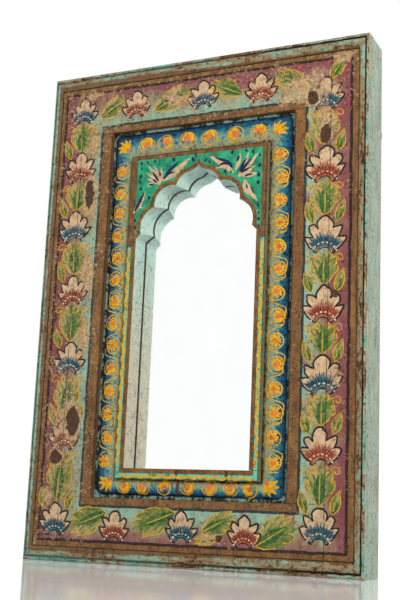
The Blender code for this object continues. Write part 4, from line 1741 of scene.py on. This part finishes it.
@dataclass
class Canvas:
    """A painted face: strokes and patches are gathered by paint, then made into thin pieces."""

    name: str
    face: FlatFace | DrapedFace
    slot: str
    seed: int
    tremor: float = 0.25
    sides: int = 1
    strokes: dict[Paint, list[tuple[list[Vector], list[float]]]] = field(default_factory=dict)
    patches: dict[Paint, list[list[Vector]]] = field(default_factory=dict)

    def __post_init__(self) -> None:
        """Seeds the hand's own tremor."""
        self.hand = random.Random(self.seed)

    def shake(self, point: Point, amount: float = 1.0) -> Point:
        """A point moved a little, as a hand would."""
        reach = self.tremor * amount
        return point[0] + self.hand.gauss(0, reach), point[1] + self.hand.gauss(0, reach)

    def stroke(self, paint: Paint, points: Sequence[Point], widths: Triple, steps: int = 4) -> None:
        """One brush stroke.

        Args:
            paint: Its paint.
            points: Places that it runs through, in millimetres.
            widths: Half its width at start, middle and end, in millimetres.
            steps: Steps from one place to the next.
        """
        path = smooth([self.shake(point, 0.6) for point in points], steps)
        load = self.hand.uniform(0.88, 1.12)
        last = len(path) - 1
        run = [max(0.08, width_along(widths, index / last) * load) * MM for index in range(last + 1)]
        self.strokes.setdefault(paint, []).append(([point * MM for point in path], run))

    def dot(self, paint: Paint, place: Point, radius: float, squeeze: float = 1.0) -> None:
        """A round touch of the brush.

        Args:
            paint: Its paint.
            place: Its middle in millimetres.
            radius: Its radius in millimetres.
            squeeze: Its height over its width.
        """
        steps = 6
        points, run = [], []
        for step in range(steps + 1):
            reach = -cos(pi * step / steps)
            points.append(Vector((place[0] + radius * reach, place[1])) * MM)
            run.append(max(0.12, radius * squeeze * sqrt(max(0.0, 1 - reach**2))) * MM)
        self.strokes.setdefault(paint, []).append((points, run))

    def patch(self, paint: Paint, outline: Sequence[Vector]) -> None:
        """A flat area of paint inside an outline in millimetres."""
        self.patches.setdefault(paint, []).append([Vector(point) * MM for point in outline])

    def drawn_strokes(self, paint: Paint) -> BMesh:
        """All strokes of one paint as flattened tubes on the face.

        Args:
            paint: The paint.

        Returns:
            Their bmesh.
        """
        data = bpy.data.curves.new("strokes", "CURVE")
        data.dimensions = "3D"
        data.bevel_depth = 1.0
        data.bevel_resolution = self.sides
        data.use_fill_caps = True
        for index, (points, run) in enumerate(self.strokes.get(paint, [])):
            layer = index % LAYERS
            spline = data.splines.new("POLY")
            spline.points.add(len(points) - 1)
            spline.points.foreach_set(
                "co", [value for p in points for value in (p.x, LAYER_STEP * layer, p.y, 1.0)]
            )
            spline.points.foreach_set("radius", run)
        obj = link("strokes", data)
        mesh = bpy.data.meshes.new_from_object(obj.evaluated_get(bpy.context.evaluated_depsgraph_get()))
        shape = bmesh.new()
        shape.from_mesh(mesh)
        bpy.data.objects.remove(obj)
        bpy.data.curves.remove(data)
        bpy.data.meshes.remove(mesh)
        bmesh.ops.remove_doubles(shape, verts=shape.verts, dist=MM / 5000)
        for vertex in shape.verts:
            layer = round(vertex.co.y / LAYER_STEP)
            offset = vertex.co.y - layer * LAYER_STEP
            raised = paint.height + layer * LAYER_FILM + min(PAINT_FILM, -offset * PAINT_RELIEF)
            height = -PAINT_FILM if offset > MM / 1000 else raised
            vertex.co.y = self.face.depth(vertex.co.x, vertex.co.z) - height
        return shape

    def build(self) -> None:
        """Makes one piece for each paint on the face."""
        for paint in Paint:
            if paint not in self.strokes and paint not in self.patches:
                continue
            shape = self.drawn_strokes(paint)
            for layer, outline in enumerate(self.patches.get(paint, [])):
                area = bmesh.new()
                y = self.face.depth(*outline[0]) - paint.height - (layer % LAYERS) * LAYER_FILM
                corners = [area.verts.new((p.x, y, p.y)) for p in outline]
                edges = [area.edges.new(pair) for pair in zip(corners, corners[1:] + corners[:1])]
                made = bmesh.ops.contextual_create(area, geom=edges)["faces"]
                grown = bmesh.ops.extrude_face_region(area, geom=made)["geom"]
                back = [item for item in grown if isinstance(item, BMVert)]
                bmesh.ops.translate(area, verts=back, vec=(0, 2 * PAINT_FILM + paint.height, 0))
                bmesh.ops.triangulate(area, faces=area.faces)
                bmesh.ops.recalc_face_normals(area, faces=area.faces)
                scratch = bpy.data.meshes.new("area")
                area.to_mesh(scratch)
                area.free()
                shape.from_mesh(scratch)
                bpy.data.meshes.remove(scratch)
            material = bpy.data.materials.get(paint.finish.name) or paint.finish.material()
            finish_piece(f"{self.name}_{paint.name.lower()}", shape, material, sharp=75)


@dataclass(frozen=True)
class Lotus:
    """Five-petalled lotus seen from the side: cream, a fan of fine strokes, a black outline."""

    half_width: float = 20.8
    height: float = 36.0
    petals: tuple[tuple[Point, ...], ...] = (
        ((-0.46, 0), (-0.76, 0.14), (-1.02, 0.40), (-0.84, 0.42), (-0.60, 0.40)),
        ((-0.60, 0.40), (-0.80, 0.56), (-0.80, 0.70), (-0.58, 0.75), (-0.36, 0.62)),
        ((-0.36, 0.62), (-0.40, 0.80), (-0.24, 0.94), (-0.02, 1), (0.20, 0.94), (0.37, 0.80), (0.34, 0.62)),
        ((0.34, 0.62), (0.54, 0.71), (0.84, 0.74), (0.78, 0.56), (0.60, 0.40)),
        ((0.60, 0.40), (0.84, 0.42), (1.05, 0.38), (0.80, 0.14), (0.46, 0)),
    )
    outline: Triple = (0.8, 1.2, 0.8)
    hub: float = -3.6
    fan: int = 12
    spread: float = 52.0

    def ray(self, angle: float, radius: float) -> Point:
        """A place on the fan, from its hub under the flower."""
        turn = radians(angle)
        return radius * sin(turn) * 1.06, self.hub + radius * cos(turn)

    def paint(self, canvas: Canvas, spot: Spot, colour: Paint) -> None:
        """Paints a flower.

        Args:
            canvas: The face to paint on.
            spot: Where its foot stands.
            colour: Paint of its fan.
        """
        shaken = {}
        for petal in self.petals:
            for point in petal:
                u, v = point[0] * self.half_width, point[1] * self.height
                shaken.setdefault(point, canvas.shake((u, v), 2.0))
        whole = []
        for petal in self.petals:
            curve = smooth([shaken[point] for point in petal], 5)
            whole += [Vector(spot.at(*point)) for point in curve[:-1]]
            canvas.stroke(Paint.BLACK, spot.all(curve), self.outline, 1)
        foot = [self.ray(angle, 7.4) for angle in range(76, -77, -19)]
        canvas.patch(Paint.CREAM, whole + [Vector(point) for point in spot.all([(11.2, 0.0), *foot])])
        for index in range(self.fan):
            angle = self.spread * (2 * index / (self.fan - 1) - 1)
            reach = 21.6 + 1.6 * cos(radians(angle * 2)) + canvas.hand.uniform(-1.6, 1.6)
            curve = [self.ray(angle, r) for r in (11.4, 16.5, reach)]
            canvas.stroke(colour, spot.all(curve), (1.2, 1.5, 0.35), 2)
            beside = angle + self.spread / (self.fan - 1)
            curve = [self.ray(beside, r) for r in (13.4, 16.0, reach - 1.5)]
            if index < self.fan - 1:
                canvas.stroke(Paint.BLACK, spot.all(curve), (0.6, 0.6, 0.2), 2)
        for radius, widths, paint in (
            (9.3, (0.9, 1.45, 0.9), colour),
            (11.0, (0.45, 0.6, 0.45), Paint.BLACK),
            (7.5, (0.5, 0.75, 0.5), Paint.BLACK),
        ):
            arc = [self.ray(angle, radius) for angle in range(-74, 75, 37)]
            canvas.stroke(paint, spot.all(arc), widths, 4)
        for index in range(8):
            place = self.ray(-70 + 20 * index, 12.5)
            canvas.dot(Paint.LIGHT, spot.at(*place), canvas.hand.uniform(0.9, 1.2))
        for side in (-1, 1):
            foot_line = [(side * 7.2, -1.8), (side * 9.6, -1.5), (side * 12.2, 0.4)]
            canvas.stroke(Paint.BLACK, spot.all(foot_line), (0.7, 0.95, 0.6), 3)


@dataclass(frozen=True)
class Leaf:
    """Green leaf with pointed lobes, a darker heart, yellow edges and a yellow midrib.

    Each lobe gives where it starts, how far out it reaches and where its tip lies, as shares of
    the leaf's length and half width.
    """

    lobes: Triples = (
        (0.04, 0.78, 0.34), (0.30, 1.00, 0.60), (0.52, 0.86, 0.82), (0.72, 0.46, 0.95),
    )
    valley: float = 0.80
    neck: Point = (0.80, 0.16)

    def edge(self, length: float, half_width: float, side: int) -> list[list[Point]]:
        """Curves of one side's lobes, from foot to tip.

        Args:
            length: Length of the leaf.
            half_width: Half its width.
            side: -1 or 1.

        Returns:
            One curve for each lobe and one for the tip.
        """
        valleys = [(start, self.valley * reach) for start, reach, _ in self.lobes[1:]]
        feet = [(0.0, 0.0), *valleys]
        curves = []
        for index, (start, reach, tip) in enumerate(self.lobes):
            foot_v, foot_u = feet[index]
            swell = (foot_u + reach) / 2 + 0.12
            curve = [(foot_u, foot_v), (swell, (foot_v + tip) / 2 - 0.03), (reach, tip)]
            following = feet[index + 1] if index + 1 < len(feet) else self.neck
            curve.append((following[1], following[0]))
            curves.append([(side * u * half_width, v * length) for u, v in curve])
        v, u = self.neck
        curves.append([(side * u * half_width, v * length), (0.0, length)])
        return curves

    def paint(self, canvas: Canvas, foot: Point, tip: Point, width: float, worn: float = 0.0) -> None:
        """Paints a lobed leaf.

        Args:
            canvas: The face to paint on.
            foot: Its foot in millimetres.
            tip: Its tip in millimetres.
            width: Its width in millimetres.
            worn: Share of its strokes that has gone.
        """
        spot, length = Spot.toward(foot, tip)
        half = width / 2
        ring = []
        for side in (-1, 1):
            points = []
            for curve in self.edge(length, half, side):
                drawn = [canvas.shake(point, 1.4) for point in curve]
                points += drawn[:-1]
                if canvas.hand.random() > worn:
                    if len(drawn) > 2:
                        canvas.stroke(Paint.YELLOW, spot.all(drawn[:3]), (0.45, 0.62, 0.3), 3)
                        canvas.stroke(Paint.YELLOW, spot.all(drawn[2:]), (0.5, 0.38, 0.2), 3)
                        middle = (Vector(drawn[0]) + Vector(drawn[3])) / 2
                        dab = [tuple(middle * 0.75), tuple((middle + Vector(drawn[2])) / 2), drawn[2]]
                        if side < 0:
                            canvas.stroke(Paint.PALE_GREEN, spot.all(dab), (0.5, half * 0.17, 0.25), 3)
            ring = points if not ring else ring + [(0.0, length), *points[::-1]]
        canvas.patch(Paint.GREEN, [Vector(point) for point in spot.all(ring)])
        for side in (-1, 1):
            heart = ((0.08, 0.05), (0.24, 0.35), (0.1, 0.72))
            heart = [(side * half * across, length * along) for across, along in heart]
            canvas.stroke(Paint.DEEP_GREEN, spot.all(heart), (0.6, half * 0.17, 0.3), 4)
            for index in range(4):
                start = length * (0.14 + 0.14 * index)
                vein = [(side * half * 0.12, start), (side * half * 0.5, start + length * 0.13)]
                canvas.stroke(Paint.DEEP_GREEN, spot.all(vein), (0.55, 0.5, 0.15), 3)
        rib = [(0.0, length * 0.06), (canvas.hand.uniform(-0.6, 0.6), length * 0.38), (0.0, length * 0.66)]
        canvas.stroke(Paint.YELLOW, spot.all(rib), (0.42, 0.5, 0.2), 4)

    def small(self, canvas: Canvas, foot: Point, tip: Point, width: float) -> None:
        """Paints a plain pointed leaf.

        Args:
            canvas: The face to paint on.
            foot: Its foot in millimetres.
            tip: Its tip in millimetres.
            width: Its width in millimetres.
        """
        spot, length = Spot.toward(foot, tip)
        half = width / 2
        sides = []
        for side in (-1, 1):
            curve = [
                (0.0, 0.0), (side * half * 0.85, length * 0.25), (side * half, length * 0.55), (0.0, length)
            ]
            curve = smooth([canvas.shake(point, 0.8) for point in curve], 4)
            sides.append(curve)
            canvas.stroke(Paint.YELLOW, spot.all(curve), (0.35, 0.6, 0.3), 1)
        ring = [*sides[0][:-1], *sides[1][:0:-1]]
        canvas.patch(Paint.GREEN, [Vector(point) for point in spot.all(ring)])
        pale = [(0.0, length * 0.5), (half * 0.15, length * 0.72), (0.0, length * 0.94)]
        canvas.stroke(Paint.PALE_GREEN, spot.all(pale), (0.5, half * 0.34, 0.2), 3)
        dark = [(0.0, length * 0.06), (half * 0.3, length * 0.3), (half * 0.1, length * 0.55)]
        canvas.stroke(Paint.DEEP_GREEN, spot.all(dark), (0.4, half * 0.3, 0.2), 3)
        canvas.stroke(
            Paint.YELLOW, spot.all([(0.0, length * 0.16), (-half * 0.1, length * 0.5)]), (0.3, 0.42, 0.2), 3
        )


@dataclass
class FlowerBorder:
    """Painting of the border: lotus flowers up both sides and along both ends, leaves between."""

    canvas: Canvas
    lotus: Lotus = Lotus()
    leaf: Leaf = Leaf()
    left_column: Triples = (
        (-167, 31.5, 66.6), (-161.5, 130.5, 166), (-162, 221, 258), (-163, 305.5, 340),
        (-166, 384.5, 422), (-164, 461, 498), (-163, 538, 570),
    )
    right_column: Triples = (
        (157.5, 35.5, 71.2), (158, 117.5, 155.6), (158, 192.5, 233), (158, 271, 310),
        (158, 349, 389), (157, 431, 471), (156, 517, 554),
    )
    rows: Triples = (
        (-88, 537.6, 570.4), (3, 538, 571.6), (77, 536, 569.6), (-87, 27.5, 60),
        (-2, 30, 63), (73, 28, 60.4),
    )
    row_leaves: Leaves = (
        ((-138, 541), (-103, 565), 23), ((-63, 541), (-12, 566), 26),
        ((53.5, 547), (12, 566), 24), ((134, 545), (92, 567), 25),
        ((162, 552), (178, 573), 16), ((-98.5, 58), (-149, 38), 30),
        ((-10.5, 60.5), (-66, 40), 30), ((22, 40), (63, 61), 23),
        ((48, 36), (12, 30), 12), ((87, 28.5), (134, 57), 32),
    )

    def flower(self, x: float, foot: float, top: float, colour: Paint) -> None:
        """One flower from its foot to its top, turned a little, its fan in a colour."""
        turn, side = self.canvas.hand.uniform(-3, 3), self.canvas.hand.choice((-1, 1))
        self.lotus.paint(self.canvas, Spot(x, foot, turn, (top - foot) / self.lotus.height, side), colour)

    def tendrils(self, x: float, foot: float, size: float = 1.0) -> None:
        """Curled yellow tendrils under both sides of a flower.

        Args:
            x: The flower's middle.
            foot: Height of its foot.
            size: Size of the curls.
        """
        for side in (-1, 1):
            spot = Spot(x, foot, 0.0, size, side)
            curl = [(6, -3), (11, -6.5), (16, -4), (20.5, -5.5), (21, -10), (17, -11), (15.8, -8)]
            self.canvas.stroke(Paint.YELLOW, spot.all(curl), (0.35, 0.5, 0.6), 4)
            self.canvas.dot(Paint.YELLOW, spot.at(16.4, -9.0), 0.8)

    def column(self, flowers: Triples) -> None:
        """A column of flowers with leaves between them.

        Args:
            flowers: Each flower's middle, foot and tip, from the bottom up.
        """
        for index, ((x, foot, top), above) in enumerate(zip(flowers, [*flowers[1:], None])):
            self.flower(x, foot, top, Paint.RED if index % 2 else Paint.BLUE)
            if foot > 80:
                self.tendrils(x, foot)
            if above is None:
                continue
            next_x, next_foot = above[0], above[1]
            gap = next_foot - top
            self.leaf.paint(
                self.canvas, (x, top + 1.0), (next_x, next_foot + 1.0), min(33.0, gap * 0.82), 0.12
            )
            for side in (-1, 1):
                start = (x + side * 14.0, top - 7.5)
                end = (x + side * 22.5, top - 7.5 + min(26.0, gap * 0.66))
                self.leaf.small(self.canvas, start, end, 10.5)

    def build(self) -> None:
        """Paints the border."""
        self.column(self.left_column)
        self.column(self.right_column)
        for index, (x, foot, top) in enumerate(self.rows):
            self.flower(x, foot, top, Paint.BLUE if index % 3 == 1 else Paint.RED)
        for foot, tip, width in self.row_leaves:
            self.leaf.paint(self.canvas, foot, tip, width, 0.15)
        self.canvas.build()


@dataclass
class ScrollMoulding:
    """Yellow scrolls and orange discs painted round the blue moulding."""

    canvas: Canvas
    side_x: tuple[float, float] = (105.0, 103.2)
    side_low: float = 117.0
    side_pitch: float = 26.9
    side_count: int = 14
    top_row: tuple[float, ...] = (-71.0, -45.0, -16.0, 13.0, 45.5, 76.0)
    top_z: float = 498.4
    bottom_row: tuple[float, ...] = (-77.5, -53.8, -26.3, 3.1, 30.0, 55.0, 78.0)
    bottom_z: float = 88.0
    corners: tuple[Point, ...] = ((-98.5, 495.5), (98.5, 495.5), (-98.5, 94.0), (98.5, 94.0))

    def comma(self, x: float, z: float, radius: float, start: float, side: int) -> None:
        """A scroll that curls in to a yellow disc with an orange heart.

        Args:
            x: Middle of the scroll.
            z: Its height.
            radius: Its outer radius.
            start: Angle in degrees where it begins.
            side: -1 or 1, the way it turns.
        """
        curl = []
        for step in range(9):
            share = step / 8
            angle = radians(start + side * 400 * share)
            curl.append(polar((x, z), radius * (1 - 0.40 * share), angle))
        self.canvas.stroke(Paint.YELLOW, curl, (0.45, 0.62, 0.9), 5)
        hub = self.canvas.shake((x, z), 2.0)
        for index in range(13):
            angle = radians(360 / 13 * index + self.canvas.hand.uniform(-9, 9))
            reach = radius * self.canvas.hand.uniform(0.60, 0.74)
            ray = [polar(hub, radius * 0.22, angle), polar(hub, reach, angle + 0.25)]
            self.canvas.stroke(Paint.YELLOW, ray, (1.15, 1.1, 0.6), 2)
        self.canvas.dot(Paint.ORANGE, self.canvas.shake(hub, 1.2), self.canvas.hand.uniform(3.2, 3.9), 0.94)

    def ring(self, x: float, z: float, radius: float, heart: float) -> None:
        """A thin ring round a yellow disc with an orange heart.

        Args:
            x: Its middle.
            z: Its height.
            radius: Radius of the ring.
            heart: Radius of the disc.
        """
        start = self.canvas.hand.uniform(0, 360)
        turns = [radians(start + 37.5 * step) for step in range(11)]
        loop = [polar((x, z), radius * (1 - 0.012 * step), turn, 0.96) for step, turn in enumerate(turns)]
        self.canvas.stroke(Paint.YELLOW, loop, (0.5, 0.62, 0.35), 3)
        turns = [radians(start + 200 + 42 * step) for step in range(7)]
        crescent = [polar((x, z), heart * 0.72, turn) for turn in turns]
        self.canvas.stroke(Paint.YELLOW, crescent, (0.5, heart * 0.34, 0.8), 3)
        self.canvas.dot(Paint.ORANGE, self.canvas.shake((x, z + heart * 0.1), 2.5), heart * 0.62, 0.9)

    def burst(self, x: float, z: float) -> None:
        """A leafy burst in a corner of the moulding.

        Args:
            x: Its middle.
            z: Its height.
        """
        side = -1 if x < 0 else 1
        up = 1 if z > 300 else -1
        for index in range(5):
            angle = radians(-20 + 32 * index)
            length = 15.0 - abs(index - 2) * 1.2
            middle = polar((x, z), side * length * 0.5, angle + 0.15, up * side)
            tip = polar((x, z), side * length, angle, up * side)
            self.canvas.stroke(
                Paint.YELLOW, [(x - side * 2.0, z - up * 2.0), middle, tip], (1.6, 2.2, 0.3), 4
            )
        self.canvas.dot(Paint.ORANGE, (x - side * 1.0, z - up * 1.0), 3.0)

    def build(self) -> None:
        """Paints the moulding."""
        for side in (-1, 1):
            for index in range(self.side_count):
                x = side * self.side_x[index % 2]
                z = self.side_low + self.side_pitch * index
                turn = 1 if index % 2 else -1
                self.comma(x, z, self.canvas.hand.uniform(10.9, 11.9), 90.0 * turn + 30.0, turn * side)
                if index + 1 < self.side_count:
                    rise = self.side_pitch
                    link = [
                        (x - 9.0 * turn, z + 3.0), (x - 8.0 * turn, z + rise * 0.38), (x, z + rise * 0.5)
                    ]
                    link += [(x + 8.0 * turn, z + rise * 0.62), (x + 9.0 * turn, z + rise - 3.0)]
                    self.canvas.stroke(Paint.YELLOW, link, (0.45, 0.6, 0.45), 4)
        hand = self.canvas.hand
        for x in self.top_row:
            self.ring(x, self.top_z + hand.uniform(-0.8, 0.8), hand.uniform(10.2, 11.4), 8.4)
        for x in self.bottom_row:
            self.ring(x, self.bottom_z + hand.uniform(-0.6, 0.6), 9.0, 6.6)
        for x, z in self.corners:
            self.burst(x, z)
        self.canvas.build()


@dataclass
class Spandrels:
    """Painting of the arch panel: brown edge of the arch, cream leaves with navy hearts, small dots."""

    canvas: Canvas
    panel: ArchPanel
    band: float = 5.2
    gap: float = 0.35
    leaves: Leaves = (
        ((-44.5, 448.5), (-10, 474), 3.4), ((-46, 450.5), (-25, 457), 2.2),
        ((-48.5, 445), (-66, 470), 2), ((-48.5, 445), (-57, 469), 1.8),
        ((-48, 446), (-48.5, 466), 1.8), ((-49, 444.5), (-68, 461), 1.8),
        ((-49.5, 444.5), (-66.5, 453.5), 1.6), ((-83, 411), (-67.5, 438), 3),
        ((-76, 421), (-70.5, 418), 1.6), ((48, 449), (15.5, 473), 3.4),
        ((43, 458.5), (24.5, 457.5), 2), ((49.5, 452), (54.5, 473), 2.4),
        ((53, 444.5), (65, 472.5), 2), ((53.5, 444.5), (77, 471), 2.2),
        ((54, 444), (74.5, 456), 2), ((58, 445), (77, 447), 2.4),
        ((60, 439.5), (66.5, 420), 2.2), ((61, 440), (78, 412.5), 3),
    )
    hearts: tuple[tuple[tuple[Point, ...], float], ...] = (
        (((-44, 450.5), (-37, 460.5), (-24, 471.5)), 1.9),
        (((-43, 453), (-36, 457.5), (-29, 458)), 1.3), (((-51, 449), (-55, 455), (-60, 462)), 1.3),
        (((-49, 455), (-49.5, 461)), 1), (((-53, 447.5), (-59, 452.5)), 1.2),
        (((-80.5, 414), (-75, 426), (-69, 437)), 1.8), (((45.5, 456), (39, 464), (22, 470.5)), 1.8),
        (((42, 460), (34, 462.5), (26, 459)), 1.3), (((50.8, 463), (53.5, 470)), 1.3),
        (((55, 450), (58.5, 459), (63, 466)), 1.4), (((56, 449), (62, 457), (70.5, 465.5)), 1.5),
        (((57, 448.5), (63, 452), (68.5, 454.5)), 1.2),
        (((61.5, 444.6), (66, 445.2), (70.5, 446)), 1.2), (((63.5, 434), (65.5, 428)), 0.8),
        (((69, 431), (74, 421)), 0.8), (((-57, 444.8), (-63, 446)), 0.8),
    )
    dots: Triples = (
        (-75, 473.5, 1.8), (-66.5, 474, 1.2), (-57, 474.5, 1.5), (-31.5, 474, 1.9),
        (-74.5, 467, 1.3), (-75.5, 457.5, 1.8), (-75.5, 450.5, 1.8), (-74, 441.5, 1.9),
        (-62.5, 429.5, 1.7), (-79.5, 402.5, 1.3), (-79, 393.5, 1.4), (-5.5, 471.5, 2.2),
        (-2.5, 476.2, 1.7), (10.5, 469, 1.6), (16, 466, 1.5), (44.5, 474.8, 1.9),
        (62.5, 475.3, 1.4), (70.5, 473, 2), (79.5, 467.5, 1.3), (79.3, 455.5, 1.8),
        (78.8, 444.5, 2.2), (78, 435.5, 2), (79.3, 408, 1.4), (79.7, 399.5, 1.3),
        (80.2, 391.5, 1.7), (80.4, 383, 1.6), (36.5, 453, 1.9), (43.5, 451, 1.3),
    )

    def arch_edge(self) -> None:
        """The brown band along the arch, one strip for each of its arcs."""
        for side in (-1, 1):
            arch = self.panel.half(self.panel.front_shares, side)
            steps = self.panel.lobe_steps
            foot = Vector((arch[0].x, OPENING.top))
            runs = [[foot, arch[0], arch[1]]]
            runs += [arch[1 + steps * index : 2 + steps * (index + 1)] for index in range(4)]
            for run in runs:
                near, far = [], []
                for index, point in enumerate(run):
                    ahead = run[min(index + 1, len(run) - 1)] - run[max(index - 1, 0)]
                    out = Vector((ahead.y, -ahead.x)).normalized() * side
                    near.append((point + out * self.gap * MM) / MM)
                    far.append((point + out * self.band * MM) / MM)
                self.canvas.patch(Paint.BROWN, near + far[::-1])
        tip = arch[-1] / MM
        point = [(-3.6, -0.5), (-1.8, 4.4), (0.0, 9.6), (1.8, 4.4), (3.6, -0.5), (0.0, 0.6)]
        self.canvas.patch(Paint.BROWN, [tip + Vector(corner) for corner in point])

    def vine(self, start: Point, end: Point, waves: int, reach: float) -> None:
        """A wavy yellow vine with leaf dabs along a narrow strip.

        Args:
            start: Where it starts.
            end: Where it ends.
            waves: Number of its waves.
            reach: How far it swings.
        """
        first, last = Vector(start), Vector(end)
        across = Vector((-(last - first).y, (last - first).x)).normalized()
        path = []
        for step in range(waves * 4 + 1):
            share = step / (waves * 4)
            path.append(tuple(first.lerp(last, share) + across * reach * sin(share * waves * tau)))
        self.canvas.stroke(Paint.YELLOW, path, (1.3, 1.7, 1.3), 2)
        for wave in range(waves * 2):
            share = (wave + 0.5) / (waves * 2)
            middle = first.lerp(last, share)
            side = -1 if wave % 2 else 1
            tip = middle + across * side * reach * 1.2 + (last - first).normalized() * 3.4
            dab = [tuple(middle), tuple(tip)]
            self.canvas.stroke(Paint.YELLOW if wave % 3 else Paint.DEEP_GREEN, dab, (0.5, 0.8, 0.2), 3)

    def build(self) -> None:
        """Paints the panel."""
        self.arch_edge()
        for foot, tip, half_width in self.leaves:
            middle = (Vector(foot) + Vector(tip)) / 2
            bow = Vector((tip[1] - foot[1], foot[0] - tip[0])).normalized() * 1.2
            path = [foot, tuple(middle + bow), tip]
            self.canvas.stroke(Paint.CREAM, path, (0.6, half_width * 1.25, 0.2), 6)
        for path, half_width in self.hearts:
            self.canvas.stroke(Paint.NAVY, path, (half_width * 0.7, half_width * 1.35, 0.25), 5)
        for x, z, radius in self.dots:
            lean = self.canvas.hand.uniform(-0.9, 0.9)
            dab = [(x + lean * radius * u, z + radius * v) for u, v in ((-1, -1.3), (0.3, 0), (1, 1.5))]
            self.canvas.stroke(Paint.NAVY, dab, (radius * 0.5, radius * 0.95, 0.25), 3)
        self.canvas.stroke(
            Paint.CREAM, [(-57.0, 446.5), (-62.5, 447.5), (-65.0, 444.5), (-60.5, 442.5)], (0.4, 0.8, 0.5)
        )
        self.vine((-86.2, 112.0), (-86.2, 366.0), 15, 1.5)
        self.vine((85.4, 112.0), (85.4, 366.0), 15, 1.5)
        self.vine((-84.0, 99.2), (84.0, 99.2), 10, 1.3)
        self.canvas.build()


def main() -> None:
    """Builds the mirror piece by piece."""
    logging.basicConfig(level=logging.INFO, format="%(name)s: %(message)s")
    bpy.context.scene.view_settings.view_transform = "Standard"
    Studio().build()
    Casing().build()
    Border().build()
    cushion_face = Cushion().build()
    panel = ArchPanel()
    panel.build()
    MirrorPlate().build()
    Back().build()
    Hangers().build()
    FlowerBorder(Canvas("flower_border", FlatFace(PLANK_FACE_Y), "border_paint", 11)).build()
    ScrollMoulding(Canvas("scrolls", cushion_face, "cushion_paint", 23, sides=2)).build()
    panel_face = FlatFace(PANEL_FACE_Y + panel.face_gap)
    Spandrels(Canvas("spandrels", panel_face, "arch_paint", 37), panel).build()


if __name__ == "__main__":
    main()
